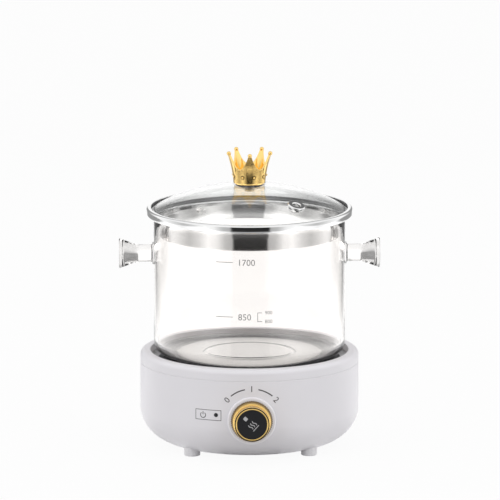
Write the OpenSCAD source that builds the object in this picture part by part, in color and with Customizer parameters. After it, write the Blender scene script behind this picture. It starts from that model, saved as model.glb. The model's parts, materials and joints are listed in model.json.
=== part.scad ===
// Glass pot on an electric heating base, with a lift-off glass lid and a crown-shaped lid knob.
// Millimetres, +Z up. The origin is on the table under the pot's axis, and the control knob faces -Y.

/* [Pot] */
// Outside diameter of the glass pot
pot_od = 160; // [152:1:162]
// Height of the glass pot from its foot to its rim
pot_h = 120; // [100:1:140]
// Thickness of the pot's wall
pot_wall = 2.5; // [2:0.1:3.5]
// Thickness of the pot's floor
pot_floor = 3.5; // [2.5:0.1:5]
// Outside radius of the pot's lower corner
pot_corner_r = 15; // [10:0.5:20]
// Radius of the raised middle of the pot's floor
punt_r = 40; // [25:1:50]
// Rise of the raised middle
punt_rise = 0.8; // [0.3:0.1:1.5]
// Rounding of the pot's rim
rim_round = 0.8; // [0.4:0.1:0.9]

/* [Handles] */
// Length of a handle from the pot's wall to its end
handle_len = 29; // [25:0.5:36]
// Depth of the handles' axis below the pot's rim
handle_drop = 32; // [24:0.5:60]
// Diameter of the fused collar at the wall
handle_root_d = 18.6; // [17:0.2:22]
// Thickness of the fused collar
handle_root_t = 1; // [0.6:0.1:2]
// Diameter of the barrel-shaped neck
handle_neck_d = 14.6; // [12:0.2:16]
// Swelling of the neck at its middle
handle_bulge = 0.5; // [0:0.1:1]
// Diameter of the waist between neck and flare
handle_waist_d = 13.4; // [11:0.2:15]
// Distance of the waist from the wall
handle_waist_at = 15; // [12:0.5:18]
// Diameter of the flared end
handle_end_d = 25; // [20:0.5:30]
// Length of the straight band at the flared end
handle_band = 4.6; // [3.2:0.1:6]
// Rounding of the flared end's rim
handle_round = 1.6; // [0.8:0.1:2.4]
// Depth of the dished end face
handle_dish = 1.4; // [0.4:0.1:3]

/* [Lid] */
// Reach of the lid's steel band past the pot's wall
lid_over = 6; // [4:0.5:9]
// Thickness of the lid's glass
lid_glass_t = 4; // [3:0.1:5]
// Height of the glass dome above its flat edge
dome_h = 21; // [14:0.5:28]
// Width of the flat edge of the glass
glass_edge_w = 2.6; // [2:0.1:5]
// Radius of the flat ground spot under the crown
dome_flat_r = 14; // [13.5:0.1:16]
// Diameter of the crown screw's hole in the glass
glass_hole_d = 6; // [5:0.2:8]
// Thickness of the sheet steel of the band
sheet_t = 0.8; // [0.5:0.1:1]
// Radius of the band's rolled top edge
band_roll_r = 2.6; // [2:0.1:3]
// Width of the band's lip over the glass, from its outermost point
band_lip_w = 3.4; // [3.1:0.1:4.5]
// Width of the flat ledge past the pot's wall
ledge_over = 0.6; // [0.3:0.1:1.5]
// Height of the skirt inside the pot
skirt_h = 16; // [8:0.5:24]
// Play between the skirt and the pot's wall
skirt_gap = 1.9; // [1:0.1:3]
// Thickness of the gasket under the edge of the glass
gasket_under = 1; // [0.6:0.1:2]
// Thickness of the gasket over the edge of the glass
gasket_over = 0.6; // [0.4:0.1:1]
// Width of the gasket that shows inside the lip
gasket_show = 0.7; // [0.3:0.1:1.2]
// Width of the gasket's web round the glass
gasket_web = 1.9; // [1.4:0.1:2.4]
// Distance of the steam vent in from the lid's edge
vent_in = 27; // [22:1:51]
// Direction of the steam vent, from +X towards +Y
vent_dir = -50; // [-90:1:90]
// Outside diameter of the vent's flange
vent_flange_d = 15; // [11:0.5:16]
// Outside diameter of the vent's tube
vent_tube_d = 8.6; // [7:0.2:9.6]
// Bore of the vent
vent_bore_d = 6; // [4:0.2:6.4]
// Thickness of the vent's flange
vent_flange_t = 1.6; // [1:0.1:2.4]

/* [Crown] */
// Height of the crown without its ball tips
crown_h = 26.4; // [20:0.2:32]
// Diameter of the crown's foot
crown_foot_d = 26.6; // [22:0.2:26.8]
// Diameter of the circle through the ball tips
crown_tip_d = 38; // [34:0.2:40]
// Number of spikes
crown_spikes = 5; // [5:1:6]
// Diameter of a ball tip
crown_ball_d = 3.6; // [3:0.1:4.4]
// Height of the valleys between the spikes
crown_valley = 14; // [11.6:0.2:16]
// Width of a spike under its ball tip
crown_spike_w = 2.7; // [2:0.1:3]
// Thickness of the crown's wall
crown_wall = 1.7; // [1.2:0.1:2.2]
// Thickness of the crown's floor
crown_floor = 3; // [2:0.1:4]
// Rounding of the crown's foot
crown_foot_round = 2; // [0.6:0.1:2.4]
// Number of small beads round the band
crown_beads = 9; // [5:1:14]
// Direction of the first bead, from the front towards +X
crown_bead_dir = 15; // [0:1:40]
// Diameter of a bead
crown_bead_d = 2; // [1.4:0.1:2.6]
// Height of the beads
crown_bead_at = 7; // [4:0.1:9]
// Thickness of the pad under the crown
crown_pad_t = 0.8; // [0.5:0.1:1.5]
// Diameter of the crown's screw
crown_screw_d = 4; // [3:0.5:5]
// Length of the crown's screw in its boss
crown_screw_grip = 8; // [5:0.5:9]
// Outside diameter of the washer under the glass
crown_washer_d = 16; // [12:0.5:20]
// Thickness of the washer under the glass
crown_washer_t = 1.2; // [0.8:0.1:2]

/* [Base] */
// Reach of the base past the pot's wall
base_over = 11.25; // [10:0.25:15]
// Height of the base from its underside to its top
base_h = 78.4; // [75:0.2:90]
// Width of the base's rounded lower corner
base_corner_w = 36; // [33:0.5:38]
// Height of the base's rounded lower corner
base_corner_h = 30; // [28:0.5:31]
// Thickness of the housing's wall
base_wall = 2.5; // [2:0.1:3]
// Height of the separate collar on top
collar_h = 9.7; // [9:0.1:12]
// Width of the collar's top
collar_w = 8.6; // [7.6:0.1:9]
// Rounding of the collar's outer edge
collar_round = 4.2; // [2:0.1:4.8]
// Rounding of the collar's inner edge
collar_lip_round = 0.6; // [0.3:0.1:1.2]
// Depth of the collar's inner wall that shows above the tray
collar_depth = 5.6; // [4.5:0.1:6.5]
// Thickness of the collar's top and inner wall
collar_t = 2; // [1.6:0.1:2.4]
// Chamfer that shows as the seam between collar and housing
seam_chamfer = 0.4; // [0.2:0.1:0.6]
// Depth of the collar's spigot in the housing
spigot_h = 3; // [2:0.1:4]
// Thickness of the collar's spigot
spigot_t = 2.4; // [1.6:0.1:3]
// Height of the feet below the housing
foot_h = 2.2; // [2:0.1:4]
// Diameter of a foot
foot_d = 13.4; // [11:0.2:14]
// Distance of the feet's middles in from the side of the base
foot_in = 22.35; // [21:0.05:23]
// Depth of the feet's seats past the housing's curve
foot_seat = 0.8; // [0.5:0.1:1.5]
// Diameter of a foot's stem
foot_stem_d = 4.4; // [3.6:0.2:5]
// Thickness of the bottom cover
cover_t = 2.5; // [2:0.1:3]
// Width of the housing's ledge above the cover
cover_ledge_w = 7; // [6.6:0.1:8]
// Margin between the cover and the housing's curve
cover_margin = 1.5; // [1:0.1:2.5]
// Number of air slots in the cover
cover_slots = 14; // [6:2:20]
// Diameter of a cover screw's shank
cover_screw_d = 3; // [2.5:0.1:3.2]

/* [Heater] */
// Diameter of the heating plate
plate_d = 124; // [116:1:128]
// Thickness of the heating plate
plate_t = 8; // [7:0.5:9]
// Depth of the plate's top below the collar's top
plate_sink = 6.4; // [5.8:0.1:7.4]
// Height of the plate above the tray's floor
plate_proud = 1.4; // [1:0.1:1.8]
// Rounding of the plate's edge
plate_round = 2; // [0.8:0.1:2.4]
// Width of the plate's flange under the tray
plate_flange_w = 3.5; // [2.5:0.1:4]
// Thickness of the plate's flange
plate_flange_t = 3.6; // [2:0.1:3.8]
// Air gap between the plate and the tray's hole
tray_gap = 0.5; // [0.3:0.1:1]
// Width of the tray's sloping wall
tray_slope_w = 6.3; // [4:0.1:9]
// Radius of the ring of the heating element
element_r = 40; // [36:0.5:42]
// Diameter of the heating element's tube
element_d = 6.4; // [5:0.2:7]
// Depth of the element's groove in the plate
element_groove = 1.4; // [0.8:0.1:2]
// Angle between the element's two ends
element_gap = 40; // [30:1:60]
// Diameter of the element's pins
element_pin_d = 4; // [3:0.2:4.6]
// Gap between the plate's flange and the wall of the pan under it
pan_gap = 4.5; // [3.5:0.5:8.5]
// Air between the pan and the switch below it
pan_air = 0.7; // [0.1:0.1:2.1]
// Radius of the hole in the middle of the pan
pan_hole_r = 16; // [15:0.5:20]
// Radius of the circle of the three spacers
spacer_ring_r = 52; // [50:0.5:54]
// Outside diameter of a spacer
spacer_d = 8; // [7:0.2:10]
// Diameter of the plate's bolts
bolt_d = 4; // [3:0.5:5]
// Depth of the bolts in the plate
bolt_grip = 4.5; // [3:0.1:5]
// Diameter of the thermostat
thermostat_d = 16; // [14:0.5:17]
// Height of the thermostat's body
thermostat_h = 9; // [6:0.5:10]
// Distance between the thermostat's screws
thermostat_pitch = 24; // [23.8:0.2:26]
// Diameter of the thermal fuse
fuse_d = 4; // [3:0.2:5]
// Length of the thermal fuse
fuse_len = 14; // [10:0.5:20]
// Distance of the fuse from the plate's middle
fuse_at = 22; // [20:0.5:23]
// Diameter of the small screws under the plate
plate_screw_d = 3; // [2.5:0.1:3.2]

/* [Control] */
// Height of the knob's axis above the table
knob_z = 38; // [36:0.5:38.5]
// Diameter of the knob's knurled flange
knob_d = 35; // [33:0.2:36]
// Diameter at the front of the knurled flange
knob_flange_front_d = 31.6; // [31:0.2:32.4]
// Length of the knob
knob_len = 14.5; // [12:0.5:18]
// Length of the knurled flange
knurl_len = 5; // [4:0.1:6]
// Number of knurls
knurls = 60; // [36:1:72]
// Depth of the knurls
knurl_depth = 0.6; // [0.3:0.1:0.8]
// Diameter of the knob's drum
knob_drum_d = 29.4; // [28.8:0.2:30]
// Outside diameter of the thin rim round the knob's face
knob_rim_d = 27; // [26.4:0.1:27.6]
// Depth of the ledge round that rim
knob_ledge = 0.9; // [0.8:0.1:1.2]
// Diameter of the knob's face
knob_face_d = 24.8; // [24.4:0.1:25.2]
// Thickness of the knob's face
knob_face_t = 1.5; // [1:0.1:2]
// Depth of the face below that rim's crest
knob_face_sink = 0.5; // [0.2:0.1:1]
// Diameter of the knob's core
knob_core_d = 22; // [20:0.2:23]
// Diameter of the white ring behind the knob
bezel_d = 40; // [38:0.5:42]
// Height of the ring in front of the housing
bezel_h = 1.4; // [1:0.1:2]
// Rounding of the ring's edge
bezel_round = 1.1; // [0.5:0.1:1.2]
// Inside diameter of the ring
bezel_bore_d = 18; // [17.4:0.2:19]
// Thickness of the ring's flange under the nut
bezel_flange_t = 1.2; // [0.8:0.1:1.6]
// Width of the switch, across and up
switch_w = 24; // [20:0.5:25]
// Depth of the switch behind the front wall
switch_depth = 16; // [14:0.5:20]
// Thickness of the switch's own walls
switch_wall = 2.4; // [1.6:0.1:3]
// Thickness of the pad between wall and switch
switch_pad_t = 2.4; // [1.6:0.1:4]
// Outside diameter of the switch's bush
bush_d = 9.5; // [8.5:0.1:10]
// Diameter of the switch's shaft
shaft_d = 6; // [5:0.5:6.5]
// Diameter of the rotor in the switch
rotor_d = 15; // [12:0.5:16]
// Width across the flats of the switch's nut
nut_w = 14; // [13:0.5:14.5]
// Thickness of the switch's nut
nut_t = 2.5; // [2:0.1:2.6]
// Height of the lamp above the table
lamp_z = 42; // [39:0.5:44]
// Direction of the lamp, from the knob towards -X
lamp_dir = 18.9; // [17:0.1:25]
// Diameter of the lamp's lens
lens_d = 3.4; // [3:0.1:5]
// Diameter of the lamp's holder
lamp_holder_d = 8; // [7:0.2:9]
// Length of the lamp's holder
lamp_holder_len = 14; // [10:0.5:16]

/* [Mains] */
// Height of the cord's gland above the table
gland_z = 43; // [42:0.5:46]
// Bore of the gland
gland_bore_d = 7; // [6:0.2:8]
// Outside diameter of the gland's neck
gland_neck_d = 12; // [11:0.2:13]
// Diameter of the gland's flange
gland_flange_d = 17; // [15:0.5:18]
// Thickness of the gland's flange
gland_flange_t = 2.6; // [2:0.1:4]
// Diameter of the gland's boot at its end
boot_end_d = 9.8; // [9:0.1:11]
// Number of grooves round the boot
boot_grooves = 4; // [2:1:5]
// Depth of a groove
boot_groove_depth = 0.6; // [0.3:0.1:0.8]
// Width across the flats of the gland's nut
gland_nut_w = 16; // [15:0.5:17]
// Thickness of the gland's nut
gland_nut_t = 3; // [2:0.2:4]
// Width of the terminal block
block_w = 34; // [30:1:40]
// Depth of the terminal block
block_d = 16; // [14:0.5:20]
// Height of the terminal block
block_h = 13; // [10:0.5:16]
// Distance of the terminal block behind the axis
block_at = 14; // [10:0.5:18]

/* [Clearances] */
// Radial play of the turning shaft
run_fit = 0.05; // [0.02:0.01:0.09]
// Play round a piece that is pushed into its seat
seat_fit = 0.1; // [0.05:0.05:0.15]
// Air gap between pieces that move past each other
air_gap = 0.4; // [0.3:0.1:0.8]

/* [Hidden] */
$fn = 96;
// Cutters run this far past the faces that they open
past = 1;
arc_steps = 12;

// Heights, from the table up
base_z0 = foot_h;
corner_z = base_z0 + base_corner_h;
cover_top = base_z0 + cover_t;
base_top = base_z0 + base_h;
seam_z = base_top - collar_h;
shelf_z = seam_z - spigot_h - sheet_t;
pan_z = knob_z + switch_w / 2 + pan_air + sheet_t;
plate_top = base_top - plate_sink;
plate_under = plate_top - plate_t;
tray_z = plate_top - plate_proud;
rim_z = plate_top + pot_h;
glass_z0 = rim_z + sheet_t + gasket_under;
glass_z1 = glass_z0 + lid_glass_t;
band_top = glass_z1 + gasket_over + sheet_t;

// Pot
pot_r = pot_od / 2;
pot_ir = pot_r - pot_wall;
handle_z = rim_z - handle_drop;

// Lid
lid_r = pot_r + lid_over;
skirt_r = pot_ir - skirt_gap;
ledge_r = pot_r + ledge_over;
band_mid = band_top - band_roll_r;
glass_r = lid_r - sheet_t - gasket_web;
dome_r = glass_r - glass_edge_w;
dome_sphere_r = (dome_r * dome_r + dome_h * dome_h) / (2 * dome_h);
dome_cz = glass_z1 + dome_h - dome_sphere_r;
dome_inner_r = dome_sphere_r - lid_glass_t;
dome_flat_z = dome_cz + drop_at(dome_sphere_r, dome_flat_r);
gasket_in_r = skirt_r;
gasket_lip_r = lid_r - band_lip_w - gasket_show;
vent_at = lid_r - vent_in;
vent_tilt = asin(vent_at / dome_sphere_r);

// Crown
crown_z = dome_flat_z + crown_pad_t;
crown_foot_r = crown_foot_d / 2;
crown_tip_r = crown_tip_d / 2;
crown_boss_r = crown_screw_d / 2 + 2.2;
crown_boss_h = crown_screw_grip + 1.5;
glass_middle_z = dome_cz + drop_at(dome_inner_r, crown_washer_d / 2);

// Base
base_r = pot_r + base_over;
base_ir = base_r - base_wall;
flat_r = base_r - base_corner_w;
lip_r = base_r - collar_w;
spigot_r = base_ir - seat_fit;
shelf_w = 4;
shelf_t = 1.6;
foot_ring_r = base_r - foot_in;
foot_roof = 2.4;
foot_seat_r = foot_d / 2 + foot_roof + seat_fit;
cover_r = min(flat_r - cover_margin, foot_ring_r - foot_seat_r);
cover_ledge_z = cover_top + base_wall;
cover_ledge_r = cover_r - cover_ledge_w;
cover_screw_r = cover_r - cover_ledge_w / 2;
cover_boss_d = 6.4;
cover_boss_h = 12;
cover_screw_len = 10;
screw_head_h = 1.4;
foot_count = 4;
foot_out = (foot_ring_r + foot_d / 2 - flat_r) / base_corner_w;
foot_top = corner_z - base_corner_h * drop_at(1, foot_out) + foot_seat;

// Heater
plate_r = plate_d / 2;
plate_flange_r = plate_r + plate_flange_w;
pan_r = plate_flange_r + pan_gap;
tray_hole_r = plate_r + tray_gap;
tray_lip_r = lip_r - 2 * seat_fit;
tray_lip_z = base_top - collar_depth;
tray_floor_r = tray_lip_r - tray_slope_w;
element_z = plate_under + element_groove - element_d / 2;
element_end = element_gap / 2;
pin_drop = 8;
spacers = 3;
bolt_head_d = 1.75 * bolt_d;
bolt_head_h = 0.65 * bolt_d;
strap_t = 0.8;
ear_w = 8;
fuse_z = plate_under - fuse_d / 2 - seat_fit;
clip_r = fuse_d / 2 + seat_fit;
clip_w = 6;
clip_screw_at = fuse_at + clip_r + strap_t + plate_screw_d;
plate_screw_grip = 4;
plate_screw_head_d = 1.9 * plate_screw_d;
plate_screw_head_h = 2;
tab_w = 6.3;
tab_t = 0.8;
tab_len = 8;

// Control, as distances in front of the axis
bush_r = bush_d / 2;
spot_r = bezel_bore_d / 2 + 2;
spot_y = sqrt(base_r * base_r - spot_r * spot_r);
bezel_y = base_r + bezel_h;
nut_y = spot_y + bezel_flange_t;
bush_end = nut_y + nut_t + 1;
switch_y = base_ir - switch_pad_t;
knob_y = bezel_y + air_gap;
rotor_r = rotor_d / 2;
rotor_len = switch_depth - 2 * switch_wall - 2 * air_gap;
knob_r = knob_d / 2;
knob_core_r = knob_core_d / 2;
knob_face_r = knob_face_d / 2;
knob_drum_r = knob_drum_d / 2;
knob_rim_r = knob_rim_d / 2;
knob_shoulder = (knob_flange_front_d - knob_drum_d) / 2;
face_seat = knob_len - knob_face_sink - knob_face_t;
hub_back = 4.4;
shaft_end = face_seat - 1.5;
lamp_pad = 2;
lamp_y = base_ir - lamp_pad;
lamp_flange_t = 1.2;
lamp_socket = 7;
lamp_socket_wall = 1.5;

// Mains
gland_y = sqrt(base_r * base_r - gland_flange_d * gland_flange_d / 4);
gland_nut_r = gland_nut_w / 2 / cos(30);
gland_in_y = sqrt(base_ir * base_ir - gland_nut_r * gland_nut_r);
gland_tail = 2;
// The boot reaches as far behind the axis as the knob does in front of it
boot_end = knob_y + knob_len;
block_ways = 3;
block_pitch = 10;
block_screw_d = 4.4;
block_well = 4;

// Height of a circle of radius r above its centre, at a distance x from its axis
function drop_at(r, x) = sqrt(r * r - x * x);

// Points along an ellipse with half axes rx and rz, from angle a0 to a1
function oval(cx, cz, rx, rz, a0, a1, n = arc_steps) =
    [for (i = [0:n]) let (a = a0 + (a1 - a0) * i / n) [cx + rx * cos(a), cz + rz * sin(a)]];

// Points along a circle
function arc(cx, cz, r, a0, a1, n = arc_steps) = oval(cx, cz, r, r, a0, a1, n);

// Places its children on the knob's axis, with +Z pointing out of the front at a distance y
module on_front(y, z = knob_z) {
    translate([0, -y, z]) rotate([90, 0, 0]) children();
}

// Places its children on the gland's axis, with +Z pointing out of the back at a distance y
module on_back(y) {
    translate([0, y, gland_z]) rotate([-90, 0, 0]) children();
}

// Places its children on the lamp's axis
module on_lamp(y) {
    rotate([0, 0, -lamp_dir]) on_front(y, lamp_z) children();
}

// Places its children on the dome, with +Z pointing out of the glass at the steam vent
module on_vent() {
    rotate([0, 0, vent_dir])
        translate([0, 0, dome_cz])
            rotate([0, vent_tilt, 0])
                translate([0, 0, dome_sphere_r])
                    children();
}

module spaced(count, r, start = 0) {
    for (i = [0:count - 1]) rotate([0, 0, start + 360 * i / count]) translate([r, 0, 0]) children();
}

// Lid

module lid_glass() {
    top_a = acos(dome_flat_r / dome_sphere_r);
    edge_a = acos(dome_r / dome_sphere_r);
    under_a = asin((glass_z0 - dome_cz) / dome_inner_r);
    hole_a = acos(glass_hole_d / 2 / dome_inner_r);
    profile = concat(
        [[glass_hole_d / 2, dome_flat_z]],
        arc(0, dome_cz, dome_sphere_r, top_a, edge_a, 2 * arc_steps),
        [[glass_r, glass_z1], [glass_r, glass_z0]],
        arc(0, dome_cz, dome_inner_r, under_a, hole_a, 2 * arc_steps)
    );
    color("#e9f2f2", 0.35)
    difference() {
        rotate_extrude() polygon(profile);
        on_vent() translate([0, 0, -2 * lid_glass_t]) cylinder(d = vent_tube_d + 2 * seat_fit, h = 4 * lid_glass_t);
    }
}

// Outline of the band's sheet at a distance in from its outer face
function band_side(inset) = concat(
    oval(ledge_r, band_mid, lid_r - ledge_r - inset, band_mid - rim_z - inset, -90, 0),
    arc(lid_r - band_roll_r, band_mid, band_roll_r - inset, 0, 90)
);

function backwards(points) = [for (i = [len(points) - 1:-1:0]) points[i]];

module lid_band() {
    profile = concat(
        [[skirt_r - sheet_t, rim_z - skirt_h], [skirt_r, rim_z - skirt_h], [skirt_r, rim_z]],
        band_side(0),
        [[lid_r - band_lip_w, band_top], [lid_r - band_lip_w, band_top - sheet_t]],
        backwards(band_side(sheet_t)),
        [[skirt_r - sheet_t, rim_z + sheet_t]]
    );
    color("#c8ccd0") rotate_extrude() polygon(profile);
}

module lid_gasket() {
    inset = sheet_t + seat_fit / 2;
    profile = concat(
        [[gasket_in_r, rim_z + inset]],
        band_side(inset),
        [[gasket_lip_r, band_top - inset], [gasket_lip_r, glass_z1], [glass_r + seat_fit / 2, glass_z1]],
        [[glass_r + seat_fit / 2, glass_z0], [gasket_in_r, glass_z0]]
    );
    color("#2b2b2d") rotate_extrude() polygon(profile);
}

module vent_eyelet() {
    tube_r = vent_tube_d / 2;
    bore_r = vent_bore_d / 2;
    flange_r = vent_flange_d / 2;
    foot_r = tube_r + 1.6;
    foot_z = drop_at(dome_inner_r, foot_r) - dome_sphere_r;
    profile = concat(
        [[bore_r, foot_z - sheet_t], [foot_r, foot_z - sheet_t], [foot_r, foot_z], [tube_r, foot_z], [tube_r, 0]],
        [[flange_r, 0]],
        oval(flange_r - vent_flange_t / 2, 0, vent_flange_t / 2, vent_flange_t, 0, 90, 6),
        oval(bore_r + vent_flange_t, 0, vent_flange_t, vent_flange_t, 90, 180, 6)
    );
    color("#d4d6d8") on_vent() rotate_extrude() polygon(profile);
}

// Radius of the crown's outside at a height: it flares more towards the tips
function crown_r(z) = crown_foot_r + (crown_tip_r - crown_foot_r) * (0.35 * z / crown_h + 0.65 * pow(z / crown_h, 2));

module crown_knob() {
    side = [for (i = [0:arc_steps]) let (z = crown_foot_round + (crown_h - crown_foot_round) * i / arc_steps)
        [crown_r(z), z]];
    foot = arc(crown_r(crown_foot_round) - crown_foot_round, crown_foot_round, crown_foot_round, -90, 0, 6);
    hollow = [for (p = side) if (p[1] > crown_floor) [p[0] - crown_wall, p[1]]];
    hollow_foot = [crown_r(crown_floor) - crown_wall, crown_floor];
    rise = crown_h - crown_valley;
    half = crown_tip_r * sin(180 / crown_spikes - asin(crown_spike_w / crown_tip_d));
    wide = half * sqrt((rise + crown_ball_d) / rise);
    valley = [for (i = [-arc_steps:arc_steps]) let (x = wide * i / arc_steps) [x, rise * pow(x / half, 2)]];
    color("#d9b45c")
    translate([0, 0, crown_z])
    difference() {
        union() {
            difference() {
                rotate_extrude() polygon(concat([[0, 0]], foot, side, backwards(hollow), [hollow_foot, [0, crown_floor]]));
                for (i = [0:crown_spikes - 1])
                    rotate([0, 0, 360 * (i + 0.5) / crown_spikes])
                        translate([0, 0, crown_valley])
                            rotate([90, 0, 0])
                                linear_extrude(height = crown_tip_d)
                                    polygon(valley);
            }
            spaced(crown_spikes, crown_tip_r - crown_wall / 2, -90) translate([0, 0, crown_h]) sphere(d = crown_ball_d);
            spaced(crown_beads, crown_r(crown_bead_at), crown_bead_dir - 90)
                translate([0, 0, crown_bead_at]) sphere(d = crown_bead_d);
            cylinder(r = crown_boss_r, h = crown_boss_h);
        }
        translate([0, 0, -past]) cylinder(d = crown_screw_d + 2 * seat_fit, h = crown_screw_grip + past);
    }
}

module crown_pad() {
    color("#3a3a3c")
    translate([0, 0, dome_flat_z])
    difference() {
        cylinder(r = crown_foot_r - crown_foot_round, h = crown_pad_t);
        translate([0, 0, -past]) cylinder(d = crown_screw_d + 2 * seat_fit, h = crown_pad_t + 2 * past);
    }
}

module crown_washer() {
    color("#b9bcc0")
    translate([0, 0, glass_middle_z - crown_washer_t])
    difference() {
        cylinder(d = crown_washer_d, h = crown_washer_t);
        translate([0, 0, -past]) cylinder(d = crown_screw_d + 2 * seat_fit, h = crown_washer_t + 2 * past);
    }
}

module crown_screw() {
    head_h = 0.6 * crown_screw_d;
    head_z = glass_middle_z - crown_washer_t - head_h;
    color("#b9bcc0")
    difference() {
        union() {
            translate([0, 0, head_z]) cylinder(d = 2 * crown_screw_d, h = head_h);
            translate([0, 0, head_z]) cylinder(d = crown_screw_d, h = crown_z + crown_screw_grip - seat_fit - head_z);
        }
        for (a = [0, 90])
            rotate([0, 0, a])
                translate([-crown_screw_d / 2, -sheet_t / 2, head_z - past])
                    cube([crown_screw_d, sheet_t, past + head_h / 2]);
    }
}

// Pot

module pot_glass() {
    inner_corner = pot_corner_r - pot_wall;
    foot_z = plate_top;
    floor_z = foot_z + pot_floor;
    punt_slope = 4;
    profile = concat(
        [[0, foot_z + punt_rise], [punt_r - punt_slope, foot_z + punt_rise], [punt_r, foot_z]],
        arc(pot_r - pot_corner_r, foot_z + pot_corner_r, pot_corner_r, -90, 0),
        arc(pot_r - rim_round, rim_z - rim_round, rim_round, 0, 90, 6),
        arc(pot_ir + rim_round, rim_z - rim_round, rim_round, 90, 180, 6),
        arc(pot_ir - inner_corner, floor_z + inner_corner, inner_corner, 0, -90),
        [[punt_r, floor_z], [punt_r - punt_slope, floor_z + punt_rise], [0, floor_z + punt_rise]]
    );
    color("#eef4f2", 0.3) rotate_extrude() polygon(profile);
}

// A solid glass lug along +Z, with its wall at zero
module handle_lug() {
    root_r = handle_root_d / 2;
    neck_r = handle_neck_d / 2;
    waist_r = handle_waist_d / 2;
    end_r = handle_end_d / 2;
    fillet = root_r - neck_r;
    neck_z = handle_root_t + fillet;
    flare_end = handle_len - handle_band;
    neck = [for (i = [1:arc_steps]) let (t = i / arc_steps)
        [neck_r + (waist_r - neck_r) * t + handle_bulge * sin(180 * t), neck_z + (handle_waist_at - neck_z) * t]];
    flare = [for (i = [1:arc_steps]) let (t = i / arc_steps)
        [waist_r + (end_r - waist_r) * pow(t, 1.25), handle_waist_at + (flare_end - handle_waist_at) * t]];
    dish_r = end_r - handle_round;
    dish = [for (i = [arc_steps:-1:0]) let (t = i / arc_steps) [dish_r * t, handle_len - handle_dish * (1 - t * t)]];
    rotate_extrude()
        polygon(concat(
            [[0, -pot_wall], [root_r, -pot_wall]],
            arc(root_r, neck_z, fillet, -90, -180, 6),
            neck,
            flare,
            arc(dish_r, handle_len - handle_round, handle_round, 0, 90, 6),
            dish
        ));
}

module pot_handle(side) {
    color("#eef4f2", 0.3)
    difference() {
        translate([side * pot_r, 0, handle_z]) rotate([0, side * 90, 0]) handle_lug();
        translate([0, 0, handle_z - handle_end_d]) cylinder(r = pot_r, h = 2 * handle_end_d);
    }
}

module left_handle() pot_handle(-1);

module right_handle() pot_handle(1);

// Base

// The housing's outside as a full solid, grown by a distance
module base_form(grow = 0) {
    rotate_extrude()
        polygon(concat(
            [[0, base_z0 - grow]],
            oval(flat_r, corner_z, base_corner_w + grow, base_corner_h + grow, -90, 0),
            [[base_r + grow, seam_z], [0, seam_z]]
        ));
}

module housing_shell() {
    ledge_a = asin((corner_z - cover_ledge_z) / (base_corner_h - base_wall));
    rebate_r = cover_r + seat_fit;
    profile = concat(
        [[rebate_r, base_z0]],
        oval(flat_r, corner_z, base_corner_w, base_corner_h, -90, 0),
        [[base_r, seam_z - seam_chamfer], [base_r - seam_chamfer, seam_z], [base_ir, seam_z]],
        [[base_ir, shelf_z], [base_ir - shelf_w, shelf_z], [base_ir - shelf_w, shelf_z - shelf_t]],
        [[base_ir, shelf_z - shelf_t - shelf_w]],
        oval(flat_r, corner_z, base_corner_w - base_wall, base_corner_h - base_wall, 0, -ledge_a),
        [[cover_ledge_r, cover_ledge_z], [cover_ledge_r, cover_top], [rebate_r, cover_top]]
    );
    rotate_extrude() polygon(profile);
}

module housing_bosses() {
    spaced(foot_count, foot_ring_r, 45) cylinder(d = foot_d + 2 * foot_roof, h = foot_top + foot_roof);
    on_front(switch_y) cylinder(r = spot_r, h = base_r);
    on_lamp(lamp_y - lamp_socket) cylinder(d = lamp_holder_d + 2 * lamp_socket_wall, h = base_r);
}

module housing() {
    color("#e4e2e8")
    difference() {
        union() {
            housing_shell();
            intersection() {
                housing_bosses();
                base_form();
            }
            spaced(foot_count, cover_screw_r) translate([0, 0, cover_top]) cylinder(d = cover_boss_d, h = cover_boss_h);
        }
        spaced(foot_count, foot_ring_r, 45) {
            translate([0, 0, -past]) cylinder(d = foot_d + 2 * seat_fit, h = foot_top + past);
            cylinder(d = foot_stem_d + 2 * seat_fit, h = foot_top + foot_roof + past);
        }
        spaced(foot_count, cover_screw_r) cylinder(d = cover_screw_d + 2 * seat_fit, h = cover_top + cover_screw_len);
        on_front(spot_y) cylinder(r = spot_r, h = base_r);
        on_front(switch_y - past) cylinder(r = bush_r + seat_fit, h = base_r);
        on_lamp(lamp_y - lamp_socket - past) cylinder(d = lamp_holder_d + 2 * seat_fit, h = lamp_socket + past);
        on_lamp(lamp_y - past) cylinder(d = lens_d + 2 * seat_fit, h = base_r);
        on_back(gland_y) cylinder(d = gland_flange_d + 4 * seat_fit, h = base_r);
        on_back(gland_in_y - past) cylinder(d = gland_neck_d + 2 * seat_fit, h = base_r);
    }
}

module top_collar() {
    collar_foot = tray_lip_z - sheet_t;
    profile = concat(
        [[base_r - seam_chamfer, seam_z], [base_r, seam_z + seam_chamfer]],
        arc(base_r - collar_round, base_top - collar_round, collar_round, 0, 90),
        arc(lip_r + collar_lip_round, base_top - collar_lip_round, collar_lip_round, 90, 180, 6),
        [[lip_r, collar_foot], [lip_r + collar_t, collar_foot], [lip_r + collar_t, base_top - collar_t]],
        [[spigot_r - spigot_t, base_top - collar_t]],
        [[spigot_r - spigot_t, seam_z - spigot_h], [spigot_r, seam_z - spigot_h], [spigot_r, seam_z]]
    );
    color("#e9e8ec") rotate_extrude() polygon(profile);
}

module drip_tray() {
    run = tray_lip_r - sheet_t - tray_floor_r;
    rise = tray_lip_z - tray_z;
    profile = concat(
        [[tray_hole_r, tray_z - sheet_t]],
        oval(tray_floor_r, tray_lip_z, run + sheet_t, rise + sheet_t, -90, 0),
        oval(tray_floor_r, tray_lip_z, run, rise, 0, -90),
        [[tray_hole_r, tray_z]]
    );
    color("#3c3e42") rotate_extrude() polygon(profile);
}

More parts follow.
